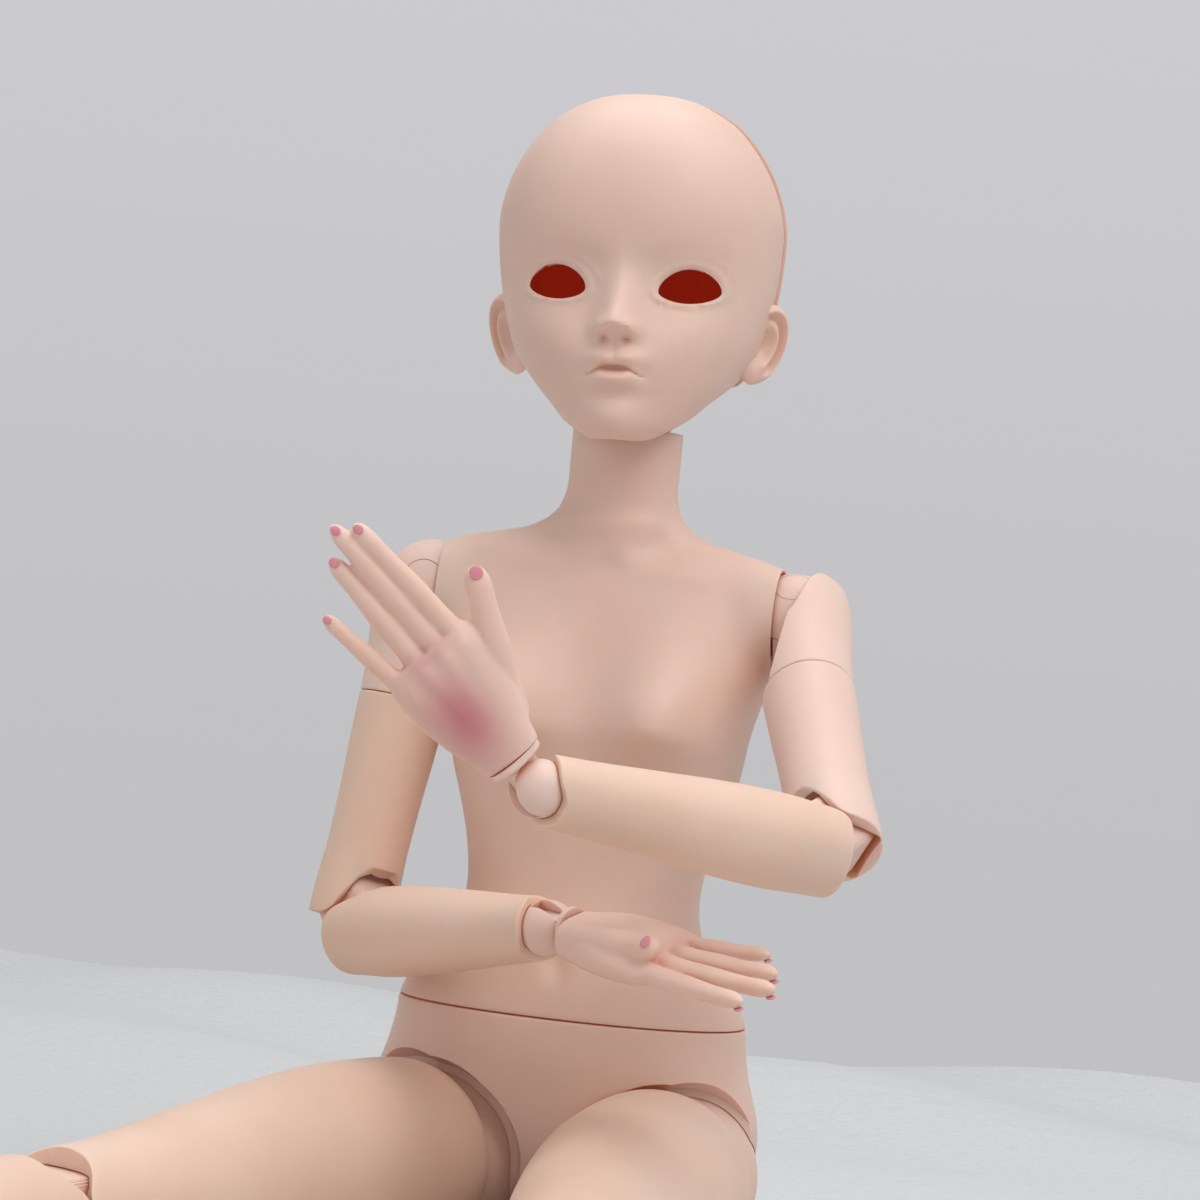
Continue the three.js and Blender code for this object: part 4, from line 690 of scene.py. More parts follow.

# %% [markdown]
# The head is a hollow egg. The face is worked on its front by soft bumps and hollows, each with a
# place, a size and a push in millimetres, as a sculptor adds and takes away clay. The eye holes are
# almonds cut through the wall, with a round eye well behind each, painted red as the painted glow of
# light through the wall.

# %% The skull
HEAD_HEIGHT, HEAD_HALF_WIDTH, HEAD_FRONT, HEAD_BACK = 84.3, 33.6, 34, 39
HEAD_WALL, CAP_PROUD, CAP_SEAM_BACK, CAP_SEAM_LEAN, CAP_FLOOR = 4, 0.7, 6, 0.06, 17
EYE_SIDE, EYE_HIGH, EYE_HALF, EYE_RISE, EYE_DROP, EYE_SLANT = 15.4, 35.1, 7.0, 5.2, 2.9, -0.07
EYE_WELL, EYE_WELL_BACK, MAGNET, MAGNET_SEAT = 10.2, -15.2, 2.5, 1.65
MOUTH_HEIGHT, MOUTH_FALL, BRIDGE_BORE = 16.3, 1.9, 6.4
HEAD_SHARES = [
    [0, 0.3, 0.9, 0.1], [0.012, 0.36, 0.93, 0.18], [0.035, 0.46, 0.965, 0.28], [0.073, 0.545, 0.98, 0.4],
    [0.117, 0.635, 0.985, 0.48], [0.161, 0.708, 0.985, 0.56], [0.205, 0.768, 0.98, 0.64],
    [0.249, 0.822, 0.975, 0.72], [0.292, 0.868, 0.965, 0.79], [0.38, 0.928, 0.95, 0.9],
    [0.468, 0.968, 0.955, 0.97], [0.556, 0.992, 0.985, 1], [0.643, 0.995, 1, 1], [0.731, 0.945, 0.97, 0.96],
    [0.82, 0.84, 0.88, 0.86], [0.907, 0.67, 0.71, 0.68], [0.953, 0.505, 0.545, 0.52],
    [0.985, 0.31, 0.34, 0.33], [1, 0.02, 0.02, 0.02],
]
# side, height, width, size above, size below, push; the side is mirrored
FACE_FORMS = [
    (14, 45.4, 10, 5, 3.2, 0.6), (13.5, 36.8, 9, 5.5, 6, -2.9), (0, 34.5, 3.6, 5.4, 6.6, 1.9),
    (0, 26.7, 3.1, 5.0, 2.1, 4.9), (0, 25.3, 3.0, 2.3, 2.0, 1.9), (3.9, 24.6, 1.5, 1.9, 1.6, 2.3),
    (17.5, 21, 8, 7, 7, 1.8), (0, 16.8, 7.5, 5.5, 6, 2.1), (2.3, 18.3, 3.0, 1.5, 1.3, 2.1),
    (0, 20.9, 0.9, 1.8, 1.3, -0.5), (0, 13.4, 3.8, 1.3, 1.6, 1.9), (0, 10.2, 5.0, 1.7, 1.9, -1.1),
    (0, 4.7, 5.4, 3.0, 4.2, 1.7), (2.6, 22.8, 1.0, 0.8, 0.8, -1.8), (0, 22.9, 1.0, 1.2, 1.2, 0.8),
    (7.2, 14.2, 1.3, 1.5, 1.5, -0.6),
]


def eye_place(x, z):
    """How far a point is from the middle of its eye, as a share of the eye's own almond."""
    across = np.abs(x) - EYE_SIDE
    rise = z - EYE_HIGH + EYE_SLANT * across
    return np.hypot(across / EYE_HALF, rise / np.where(rise > 0, EYE_RISE, EYE_DROP)), rise


def face_push(x, z):
    push = np.zeros_like(x)
    for form in FACE_FORMS:
        push += bump(np.abs(x), z, *form)
    share, rise = eye_place(x, z)
    push += 0.65 * hill(share - 1.16, 0.15)
    push += 0.3 * hill(share - 1.5, 0.16) * smoothstep(rise, 0.5, 3)
    line = MOUTH_HEIGHT - MOUTH_FALL * smoothstep(np.abs(x), 2.0, 6.6)
    parted = 0.45 + 1.0 * np.exp(-(x / 3.0) ** 4)
    drop = np.where(z > line, 0.42, parted)
    depth = 0.8 + 1.2 * np.exp(-(x / 3.2) ** 4)
    push -= depth * hill(z - line, drop) * (1 - smoothstep(np.abs(x), 5.8, 7.4))
    return push


def head_rings(shares, angles, grow, with_face):
    rings = []
    for share in shares:
        values = sample(HEAD_SHARES, share)[0]
        square = 2 + 0.25 * smoothstep(share, 0.1, 0.5)
        radius = section_radius(angles, values[1] * HEAD_HALF_WIDTH + grow, values[2] * HEAD_FRONT + grow,
                                values[3] * HEAD_BACK + grow, square)
        x, y = radius * np.cos(angles), radius * np.sin(angles)
        z = np.full(len(angles), share * HEAD_HEIGHT + grow * (2 * share - 1))
        lifted = smoothstep(y, -HEAD_FRONT * 0.9, HEAD_BACK * 0.3)
        z += lifted * HEAD_HEIGHT * 0.1 * (1 - smoothstep(share, 0, 0.3))
        if with_face:
            y = y - face_push(x, z) * smoothstep(-y / HEAD_FRONT, 0.25, 0.7) * (y < 0)
        rings.append(np.stack([x, y, z], axis=1))
    return rings


def head_cavity():
    rings = []
    for share in np.linspace(0, 1, 24):
        values = sample(HEAD_SHARES, CAP_FLOOR / HEAD_HEIGHT * (1 - share) + share)[0]
        close = math.sqrt(max(1 - smoothstep(share, 0.9, 1) ** 2, 0.003))
        wide, front, back = [max(v * size - HEAD_WALL, HEAD_WALL) * close for v, size in (
            (values[1], HEAD_HALF_WIDTH), (values[2], HEAD_FRONT + 2), (values[3], HEAD_BACK))]
        height = CAP_FLOOR + share * (HEAD_HEIGHT - HEAD_WALL - CAP_FLOOR)
        rings.append(ring_of(64, lambda z, w=wide, f=front, b=back: (w, f, b, 2.0), lambda x, y, h=height: h))
    return loft("cavity", rings)


def cap_side(grow):
    """All that lies behind the seam and above the cap's floor."""
    tool = block((-40, CAP_SEAM_BACK + grow, CAP_FLOOR + grow), (40, 50, 90))
    points = point_array(tool)
    front = points[:, 1] < 25
    points[front, 1] -= (points[front, 2] - CAP_FLOOR) * CAP_SEAM_LEAN
    put_points(tool, points)
    return tool


def eye_tool(side):
    angles = TAU * np.arange(64) / 64
    x = EYE_HALF * np.cos(angles)
    z = np.where(np.sin(angles) > 0, EYE_RISE, EYE_DROP) * np.sin(angles) * (1 - 0.14 * np.cos(angles) ** 2)
    outline = np.stack([side * EYE_SIDE + x, EYE_HIGH + z - EYE_SLANT * side * x], axis=1)
    return moved(plate(outline.tolist(), 12), y=-30)


even = np.linspace(-1, 1, 221)
front_angles = -math.pi / 2 + math.pi * 0.43 * (0.6 * even + 0.4 * even ** 3)
back_angles = np.linspace(-math.pi * 0.07, math.pi * 1.07, 61)[1:-1]
face_angles = np.concatenate([front_angles, back_angles])
crown_shares = 1 - 0.07 * np.linspace(1, 0, 16)[1:] ** 2
face_shares = np.concatenate([
    np.linspace(0, 0.06, 12), np.linspace(0.06, 0.15, 20)[1:], np.linspace(0.15, 0.24, 44)[1:],
    np.linspace(0.24, 0.6, 100)[1:], np.linspace(0.6, 0.93, 40)[1:], crown_shares])
print("skull", len(face_shares), "rings of", len(face_angles))

# %% [markdown]
# An ear is a shallow leaf: a rolled rim, a ridge inside it, a hollow and a soft lobe. It is made as
# rings from its middle to its edge and back behind, so that the rim can curl.

# %% The ears
EAR_TALL, EAR_WIDE, EAR_TURNS = 19.5, 13, (("x", -12), ("y", 11), ("z", -44))


def ear(side):
    sides = 72
    angle = TAU * np.arange(sides) / sides
    up, back = np.sin(angle), np.cos(angle)
    outline = 1 + 0.08 * hill(angle - 0.9, 0.7)
    rings = []
    for share in np.concatenate([np.linspace(0.03, 1, 26), np.linspace(0.97, 0.03, 12)]):
        behind = len(rings) >= 26
        rim = 1.5 * hill(share - 0.87, 0.11) * smoothstep(up + 0.5 * back, -0.9, -0.2)
        ridge = 0.9 * hill(share - 0.5, 0.12) * smoothstep(back, -0.2, 0.5)
        hollow = -2.4 * hill(share, 0.36) - 0.9 * hill(share - 0.7, 0.1) * smoothstep(up + back, -0.6, 0.2)
        lobe = 0.8 * smoothstep(-up, 0.5, 0.95) * hill(share - 0.7, 0.25)
        edge = (1 - share ** 8) ** 0.5
        height = (-1.5 * edge if behind else edge * (0.9 + rim + ridge + hollow + lobe)) * np.ones(sides)
        rings.append(np.stack([height, share * outline * back * EAR_WIDE / 2,
                               share * outline * up * EAR_TALL / 2], axis=1))
    leaf = loft("ear", rings)
    for axis, degrees in EAR_TURNS:
        turned(leaf, axis, degrees)
    if side < 0:
        leaf.data.transform(Matrix.Scale(-1, 4, (1, 0, 0)))
        edit_all(leaf, outward)
    return moved(leaf, side * HEAD_HALF_WIDTH * 0.89, 0, HEAD_HEIGHT * 0.315)


# %% The face shell and its cap
HEAD_FINISHES = (flesh_resin, painted_red_glow)
face = loft("face", head_rings(face_shares, face_angles, 0, True))
join(face, ear(1), ear(-1))
neck_half = float(torso_section(CHEST_SHARES, CHEST_HEIGHT)(np.array([CHEST_HEIGHT]))[0][0])
neck_reach = math.hypot(neck_half, NECK_PIVOT_ABOVE) + 3 * FIT
boss = common(moved(ball(NECK_SEAT - FIT), z=CHIN_BELOW), block((-20, -20, -20), (20, 20, CHIN_BELOW)))
moat = common(moved(ball(neck_reach), z=CHIN_BELOW), block((-40, -40, -20), (40, 40, CHIN_BELOW - 3)))
cut(face, moat, bar("z", neck_half + 3.4, -8, CHIN_BELOW - NECK_PIVOT_ABOVE * 0.8))
join(face, boss)
cut(face, head_cavity(), moved(ball(NECK_SEAT - FIT - 3), z=CHIN_BELOW),
    bar("z", BRIDGE_BORE, -OVERRUN, CHIN_BELOW + 2))
for side in (1, -1):
    cut(face, moved(ball(EYE_WELL), side * EYE_SIDE, EYE_WELL_BACK, EYE_HIGH), eye_tool(side))
cut(face, cap_side(0))
for side in (1, -1):
    cut(face, moved(bar("y", MAGNET + FIT, MAGNET_SEAT, 10), side * HEAD_HALF_WIDTH * 0.84, z=HEAD_HEIGHT / 2))


def paint_inner_glow(piece):
    """Gives the faces that look into the hollow of the head the painted red glow of light through the wall."""
    middle = Vector((0, 4, HEAD_HEIGHT * 0.55))
    for face_of in piece.data.polygons:
        inner = face_of.center
        share = sample(HEAD_SHARES, inner.z / HEAD_HEIGHT)[0]
        depth = math.hypot(inner.x / (share[1] * HEAD_HALF_WIDTH + 0.1),
                           inner.y / ((share[2] * HEAD_FRONT if inner.y < 0 else share[3] * HEAD_BACK) + 0.1))
        seam = CAP_SEAM_BACK - (inner.z - CAP_FLOOR) * CAP_SEAM_LEAN
        on_seam = abs(inner.y - seam) < 1 and abs(face_of.normal.y) > 0.9
        inside = (middle - inner).dot(face_of.normal) > 0 and depth < 0.97 and inner.z > CAP_FLOOR + 0.5
        face_of.material_index = int(inside and not on_seam)


paint_inner_glow(face)
settle(face, "face_skin", "head", HEAD_FINISHES, "flesh_plastic", ["face_shell"])
cap_shares = np.concatenate([np.linspace(0, 0.93, 90), crown_shares])
cap = loft("cap", head_rings(cap_shares, face_angles, CAP_PROUD, False))
common(cap, cap_side(FIT / 2))
cut(cap, head_cavity())
paint_inner_glow(cap)
settle(cap, "head_cap_skin", "head_cap", HEAD_FINISHES, "flesh_plastic", ["head_cap"], place=SPOTS["head"])
print("face", len(face.data.polygons), "cap", len(cap.data.polygons), "faces")

# %% [markdown]
# Shoulders, hips, wrists and ankles share one joint: a ball with a peg on one side and a slot on the
# other, a tongue that turns in the slot, and a pin through both. The pin's broad head lies flush in
# the ball's front, and only the thin ring round it shows.

# %% Slotted balls, pins and tongues
def sector(hub, reach, start, end, half):
    """A flat sector with a round hub, for cutting a slot."""
    spread = math.asin(hub / reach)
    outer = np.linspace(math.radians(start) - spread, math.radians(end) + spread, 40)
    inner = np.linspace(math.radians(end) + math.pi / 2, math.radians(start) - math.pi / 2 + TAU, 24)
    outline = [(reach * math.cos(a), reach * math.sin(a)) for a in outer]
    outline += [(hub * math.cos(a), hub * math.sin(a)) for a in inner]
    return plate(outline, half)


def ball_block(joint, peg_angle, peg_radius, peg_length, slot_start, slot_end):
    piece = ball(joint["ball"], FINE_SIDES)
    join(piece, turned(bar("x", peg_radius, 0, peg_length), "y", -peg_angle))
    far = joint["ball"] + OVERRUN
    cut(piece, sector(joint["hub"] + FIT, far, slot_start, slot_end, joint["slot"] + FIT),
        bar("y", joint["pin"] + PIN_FIT, -far, joint["ball"] - joint["slot"] / 2, PIN_SIDES),
        bar("y", joint["head"] + PIN_FIT, -far, -joint["slot"] * 2))
    return piece


def ball_pin(joint):
    seat = -joint["slot"] * 2 - FIT
    pin = common(bar("y", joint["head"], -joint["ball"] - OVERRUN, seat), ball(joint["ball"] - 0.02, FINE_SIDES))
    end = joint["ball"] - joint["slot"] / 2 - FIT
    return join(pin, bar("y", joint["pin"], seat - joint["pin"], end, PIN_SIDES))


def tongue(joint, length):
    blade = bar("y", joint["hub"], -joint["slot"], joint["slot"])
    join(blade, block((-joint["hub"], -joint["slot"], -length), (joint["hub"], joint["slot"], 0)))
    end = joint["slot"] + OVERRUN
    return cut(blade, bar("y", joint["pin"] + PIN_FIT, -end, end, PIN_SIDES))


SHOULDER = {"ball": SHOULDER_BALL, "slot": 2.6, "hub": 6.2, "pin": 2, "head": 4.7}
HIP = {"ball": HIP_BALL, "slot": 5.2, "hub": 10.5, "pin": 3.2, "head": 7}
WRIST = {"ball": 6.3, "slot": 1.5, "hub": 3.6, "pin": 1.1, "head": 2}
ANKLE = {"ball": 8, "slot": 2, "hub": 4.6, "pin": 1.5, "head": 2.8}

# %% [markdown]
# Elbows and knees are double hinges: a link with two round ends, and a rim on each limb that is level
# behind the hinge and cut back on the side that it folds to.

# %% Hinge rims, slots and links
def hinge_rim(reach, rise, fold, side, other_rise=0):
    slope, place = math.tan(math.radians(fold)), reach * math.sin(math.radians(fold))

    def rim(x, y):
        depth = y * side
        behind = -reach + other_rise * smoothstep(-depth, reach, 2 * reach)
        round_part = -np.sqrt(np.maximum(reach ** 2 - depth ** 2, 0))
        ramp = np.minimum(rise, -math.sqrt(reach ** 2 - place ** 2) + (depth - place) * slope)
        return np.where(depth <= 0, behind, np.where(depth < place, round_part, ramp))
    return rim


def link_slot(half, radius, start, end):
    x, y, corner = half + 1.5 * FIT, radius + 1.5 * FIT, radius / 5 - 3 * FIT
    outline = [(x, corner - y), (x, y - corner), (x - corner, y), (corner - x, y),
               (-x, y - corner), (-x, corner - y), (corner - x, -y), (x - corner, -y)]
    return moved(turned(plate(outline, (end - start) / 2), "x", -90), z=(start + end) / 2)


def hinge_link(radius, half, span, pin):
    """A bar with two round ends, its edges rounded off, and a hole for the pin in each end."""
    corner = radius / 5
    link = None
    for turn in np.linspace(0, math.pi / 2, 6):
        inset, width = corner * (1 - math.cos(turn)), half - corner * (1 - math.sin(turn))
        angles = np.linspace(0, math.pi, 33)
        reach = radius - inset
        outline = [(reach * math.cos(a), reach * math.sin(a)) for a in angles]
        outline += [(reach * math.cos(a + math.pi), reach * math.sin(a + math.pi) - span) for a in angles]
        layer = plate(outline, width)
        link = join(link, layer) if link else layer
    turned(link, "z", 90)
    for z in (0, -span):
        cut(link, moved(bar("x", pin + PIN_FIT, -half * 2, half * 2, PIN_SIDES), z=z))
    return link


def pin_hole(half, pin, z=0):
    """The tool for a hinge pin's blind hole, which goes a little past both sides of the slot."""
    end = half + pin + FIT
    return moved(bar("x", pin + PIN_FIT, -end, end), z=z)


# %% [markdown]
# An arm is a cap over the shoulder ball, an upper arm that turns on the cap's peg, the elbow's link
# and a forearm that narrows to the wrist ball. Left and right differ only in the cap.

# %% The arms
SIDES = (("left", 1), ("right", -1))
ARM_CAP_LENGTH, ARM_CAP_WALL, UPPER_ARM_LENGTH, ARM_TOP = 28, 1.9, 76.5, 10.7
ARM_PEG, ARM_PEG_LENGTH = 5.5, 10
ELBOW_SPAN, ELBOW_LINK, ELBOW_HALF, ELBOW_PIN = 11, 7.4, 6.2, 1.7
ELBOW_REACH, ELBOW_RISE, ELBOW_FOLD = 5.2, 7.5, 66
FOREARM_LENGTH, FOREARM_RADIUS, WRIST_PEG, WRIST_PEG_LENGTH, WRIST_HALF = 66.5, 10.7, 3.2, 9, 8.2
CUFF_THICK, HAND_PEG, HAND_PEG_LENGTH = 1.8, 2.4, 8
UPPER_ARM_ROWS = [
    [0, 1, 1, 1], [0.25, 0.96, 0.98, 0.98], [0.5, 0.91, 0.94, 0.93], [0.75, 0.89, 0.92, 0.91],
    [0.92, 0.92, 0.935, 0.935], [1, 0.935, 0.94, 0.94], [1.1, 0.93, 0.93, 0.93],
]
FOREARM_ROWS = [
    [-0.2, 0.9, 0.9, 0.9], [0, 0.94, 0.94, 0.94], [0.15, 0.985, 0.985, 0.985], [0.35, 0.96, 0.95, 0.95],
    [0.6, 0.86, 0.84, 0.84], [0.85, 0.77, 0.71, 0.72], [1, 0.74, 0.66, 0.67],
]
elbow_rim = hinge_rim(ELBOW_REACH, ELBOW_RISE, ELBOW_FOLD, -1)


def arm_cap(side):
    inner = SHOULDER_BALL + FIT
    outer = inner + ARM_CAP_WALL

    def section_at(z):
        across = np.where(z > -outer / 2, np.sqrt(np.maximum(outer ** 2 - z ** 2, outer)), 0)
        size = np.maximum(across, outer * 0.985 + (ARM_TOP - outer * 0.985) * smoothstep(-z, 0, ARM_CAP_LENGTH))
        return size, size, size, np.full(len(z), 2.0)

    def rim(x, y):
        return outer * (-0.85 + 1.12 * smoothstep(side * x, -outer * 0.3, outer * 0.55))
    shell = limb("arm_cap", FINE_SIDES, section_at, -ARM_CAP_LENGTH, -outer * 0.9, None, rim, 30, 0.5)
    near = ARMHOLE_HALF_SPAN - SHOULDER_HALF_SPAN + FIT * 3
    body_room = [(near, outer), (near, -outer * 0.7), (-ARM_TOP * 0.86, -ARM_CAP_LENGTH),
                 (-outer * 2, -ARM_CAP_LENGTH), (-outer * 2, outer)]
    cut(shell, ball(inner, FINE_SIDES), plate([(side * x, z) for x, z in body_room], outer * 2))
    blade_room = [(side * x, min(z, -SHOULDER_BALL * 0.85)) for x, z in body_room[1:]]
    blade = cut(tongue(SHOULDER, outer), plate(blade_room, outer))
    return join(shell, blade, bar("z", ARM_PEG, -ARM_CAP_LENGTH - ARM_PEG_LENGTH, -inner - ARM_CAP_WALL))


def upper_arm():
    length = UPPER_ARM_LENGTH - ARM_CAP_LENGTH
    piece = limb("upper_arm", FINE_SIDES, sections(UPPER_ARM_ROWS, length, ARM_TOP),
                 ELBOW_RISE + FIT * 4 - length, -FIT, lambda x, y: elbow_rim(x, y) - length, None, 36, 0.4)
    return cut(piece, link_slot(ELBOW_HALF, ELBOW_LINK, -length - ELBOW_RISE * 2, ELBOW_LINK + FIT * 4 - length),
               pin_hole(ELBOW_HALF, ELBOW_PIN, -length), bar("z", ARM_PEG + FIT, -ARM_PEG_LENGTH - 2 * FIT, OVERRUN))


def forearm():
    end = -FOREARM_LENGTH + WRIST["ball"] * 0.62

    def rim(x, y):
        return end - WRIST["ball"] * 0.4 * smoothstep(np.abs(x), WRIST_HALF * 0.3, WRIST_HALF * 0.9)
    piece = limb("forearm", FINE_SIDES, sections(FOREARM_ROWS, FOREARM_LENGTH, FOREARM_RADIUS),
                 end + WRIST["ball"] * 0.3, -ELBOW_RISE - FIT * 4,
                 rim, lambda x, y: -elbow_rim(x, y), 44, 0.5)
    return cut(piece, link_slot(ELBOW_HALF, ELBOW_LINK, -ELBOW_LINK - FIT * 4, ELBOW_RISE * 2),
               pin_hole(ELBOW_HALF, ELBOW_PIN), moved(ball(WRIST["ball"] + FIT), z=-FOREARM_LENGTH),
               bar("z", WRIST_PEG + FIT, -FOREARM_LENGTH, -FOREARM_LENGTH + WRIST["ball"] + WRIST_PEG_LENGTH))


def wrist_yoke():
    top = -WRIST["ball"] - FIT * 2
    edge = ((0.84, 0), (0.93, 0.08), (0.985, 0.25), (1, 0.4), (1, 1))
    cuff = loft("cuff", [ring_of(64, lambda z, s=s: (6.36 * s, 4.6 * s, 4.6 * s, 2.4),
                                 lambda x, y, d=d: top - CUFF_THICK * d) for s, d in edge])
    return join(cuff, tongue(WRIST, -top + CUFF_THICK / 2),
                bar("z", HAND_PEG, top - CUFF_THICK - HAND_PEG_LENGTH, top - CUFF_THICK / 2))


for name, side in SIDES:
    slot_angles = (-105, 0) if side > 0 else (-180, -75)
    settle_side(name, ball_block(SHOULDER, 180 if side > 0 else 0, SHOULDER_BALL * 0.93,
                                 SHOULDER_HALF_SPAN - ARMHOLE_HALF_SPAN + BARREL_DEPTH, *slot_angles),
                "shoulder_ball", "shoulder", joint_resin, "shoulder_block")
    settle_side(name, ball_pin(SHOULDER), "shoulder_disc", "shoulder", joint_resin, "shoulder_pin")
    settle_side(name, arm_cap(side), "arm_cap_skin", "arm_cap", joint_resin, "arm_cap")
    settle_side(name, upper_arm(), "upper_arm_skin", "upper_arm", joint_resin if side > 0 else limb_resin,
                "upper_arm", "limb_plastic")
    settle_side(name, hinge_link(ELBOW_LINK, ELBOW_HALF, ELBOW_SPAN, ELBOW_PIN), "elbow_hinge", "elbow",
                joint_resin, "elbow_link")
    settle_side(name, forearm(), "forearm_skin", "forearm", limb_resin, "forearm", "limb_plastic")
    settle_side(name, ball_block(WRIST, 90, WRIST_PEG, WRIST["ball"] + WRIST_PEG_LENGTH - FIT, -150, -30),
                "wrist_ball", "wrist", joint_resin, "wrist_block")
    settle_side(name, ball_pin(WRIST), "wrist_disc", "wrist", joint_resin, "wrist_pin")
    settle_side(name, wrist_yoke(), "wrist_cuff", "wrist_yoke", joint_resin, "wrist_yoke")
print("arms done")

# %% [markdown]
# A hand starts as a palm and five curved tubes. They are joined, and a voxel remesh with a little
# smoothing turns them into one skin with soft webs between the fingers, like a cast from a
# sculpted hand. The nails are thin lacquered plates on the backs of the tips.

# %% The hands
PALM_LENGTH, PALM_HALF_WIDTH, PALM_HALF_DEPTH = 29, 11.4, 4.8
PALM_SQUARENESS, HAND_VOXEL = 2.4, 0.42
FINGER_RADIUS, FINGER_LENGTH, THUMB_RADIUS, THUMB_LENGTH = 2.75, 37.5, 2.75 * 1.42, 36
PALM_TOP = WRIST["ball"] + FIT * 3 + CUFF_THICK
PALM_ROWS = [[0, 0.6, 1, 1], [0.12, 0.66, 1.02, 1.02], [0.35, 0.86, 1.04, 1], [0.65, 1, 1, 0.92],
             [0.88, 1, 0.86, 0.82], [1, 0.93, 0.62, 0.62]]
FINGER_SHARES = [(0.97, 0.63, 0.97), (1.02, 0.2, 1), (0.9, -0.25, 0.96), (0.74, -0.7, 0.87)]
HAND_FORMS = {
    "left": {"curls": (8, 12, 18, 12), "spreads": (-4, -2, -1, -9), "thumb": (14, 24, 8, 1, 0), "back_blush": 0.9},
    "right": {"curls": (4, 6, 6, 8), "spreads": (5, 1, -2, -7), "thumb": (-8, 2, -7, 0.78, 140),
              "back_blush": 0.25},
}


def finger(length, radius, curl, spread, base, lift=0, roll=0):
    """A finger and the matrix of its nail: an origin on the back of the tip, with Y outward."""
    steps, rings, place = 40, [], Vector()
    matrix = Matrix.Translation(base) @ spin(lift, "X") @ spin(spread, "Y") @ spin(roll, "Z")
    nail = Matrix()
    angles = TAU * np.arange(24) / 24
    for i in range(steps + 1):
        share = i / steps
        bend = math.radians(curl) * share * share
        forward = Vector((0, -math.sin(bend), -math.cos(bend)))
        upward = Vector((0, math.cos(bend), -math.sin(bend)))
        if i:
            place = place + forward * length / steps * 0.93
        thick = radius * (1 - 0.3 * share) * (1 + 0.045 * math.cos(TAU * 2.1 * share))
        end = 1 if share < 0.86 else math.sqrt(max(1 - ((share - 0.86) / 0.14) ** 2, 0.01))
        across, high = thick * end * np.cos(angles), thick * end * 0.94 * np.sin(angles)
        rings.append([place + Vector((1, 0, 0)) * a + upward * b for a, b in zip(across, high)])
        if i == round(steps * 0.95):
            tip_turn = Matrix(((1, 0, 0), upward, -forward)).transposed().to_4x4()
            nail = Matrix.Translation(place + upward * thick * 0.86) @ tip_turn
            nail = nail @ Matrix.Diagonal((thick * 0.5, 0.35, thick * 0.55, 1))
    piece = loft("finger", [[tuple(p) for p in ring] for ring in rings])
    piece.data.transform(matrix)
    return piece, matrix @ nail


def one_skin(piece, voxel, passes):
    """Turns joined forms into one soft skin."""
    change(piece, "REMESH", mode="VOXEL", voxel_size=voxel, use_smooth_shade=True)
    change(piece, "SMOOTH", factor=0.5, iterations=passes)


def hand(name, side):
    form = HAND_FORMS[name]
    rows = [[share, wide * PALM_HALF_WIDTH, front * PALM_HALF_DEPTH, back * PALM_HALF_DEPTH, PALM_SQUARENESS]
            for share, wide, front, back in PALM_ROWS]
    palm_at = sections(rows, PALM_LENGTH, 1)
    levels = np.linspace(-PALM_TOP, -PALM_TOP - PALM_LENGTH, 40)
    palm = loft("hand", level_rings(48, lambda z: palm_at(z + PALM_TOP), levels))
    points = point_array(palm)
    x, y, z = points.T
    out, down = side * x, -z - PALM_TOP
    ball_of_thumb = 1.5 * hill(out - 5, 4.5, down - 9, 8)
    heel = hill(out + 6, 4, down - 12, 9)
    hollow = -0.9 * hill(out + 0.5, 4, down - 15, 6)
    points[:, 1] -= (ball_of_thumb + heel + hollow) * (y < 0)
    for _, across, drop in FINGER_SHARES:
        knuckle = 0.55 * hill(out - across * PALM_HALF_WIDTH, 1.9, down - drop * PALM_LENGTH + 2.6, 2.6)
        tendon = 0.16 * hill(out - across * PALM_HALF_WIDTH * (0.5 + 0.02 * down), 0.9) * smoothstep(down, 6, 18)
        points[:, 1] += (knuckle + tendon) * (y > 0)
    put_points(palm, points)
    nails = []
    for i, (length, across, drop) in enumerate(FINGER_SHARES):
        base = Vector((side * PALM_HALF_WIDTH * across, 0, -PALM_TOP - PALM_LENGTH * drop + FINGER_RADIUS))
        piece, nail = finger(FINGER_LENGTH * length, FINGER_RADIUS * (0.86 if i == 3 else 1), form["curls"][i],
                             -side * form["spreads"][i], base)
        join(palm, piece)
        nails.append(nail)
    curl, spread, lift, share, roll = form["thumb"]
    root = Vector((side * PALM_HALF_WIDTH * 0.45, -PALM_HALF_DEPTH * 0.45, -PALM_TOP - PALM_LENGTH * 0.22))
    piece, nail = finger(THUMB_LENGTH * share, THUMB_RADIUS, curl, -side * spread, root, lift, roll)
    join(palm, piece)
    nails.append(nail)
    one_skin(palm, HAND_VOXEL, 9)
    cut(palm, bar("z", HAND_PEG + FIT, -PALM_TOP - HAND_PEG_LENGTH - FIT, 0, PIN_SIDES))
    x, y, z = point_array(palm).T
    out, down = side * x, -z - PALM_TOP
    back = hill(out + 2.6, 6.2, down - 13.5, 11) * smoothstep(y, -1, 2.5)
    webs = 0.25 * hill(down - PALM_LENGTH * 0.98, 2.2) * smoothstep(np.abs(x), 9, 3)
    paint(palm, form["back_blush"] * back + webs)
    settle_side(name, palm, "hand_skin", "hand", hand_resin, "hand", smooth=50)
    plates = None
    for nail in nails:
        piece = ball(1, 24)
        piece.data.transform(nail)
        plates = join(plates, piece) if plates else piece
    settle(plates, f"{name}_nails", f"{name}_hand", lacquer, "pale_plastic", smooth=60)
    return len(palm.data.polygons)


for name, side in SIDES:
    print(name, "hand", hand(name, side), "faces")

# %% [markdown]
# A leg is a slotted hip ball, a thigh with a round rim over it, the knee's link, a calf, a slotted
# ankle ball and a foot with five toes. The foot is shaped like the hand: a few tubes made into one
# skin.

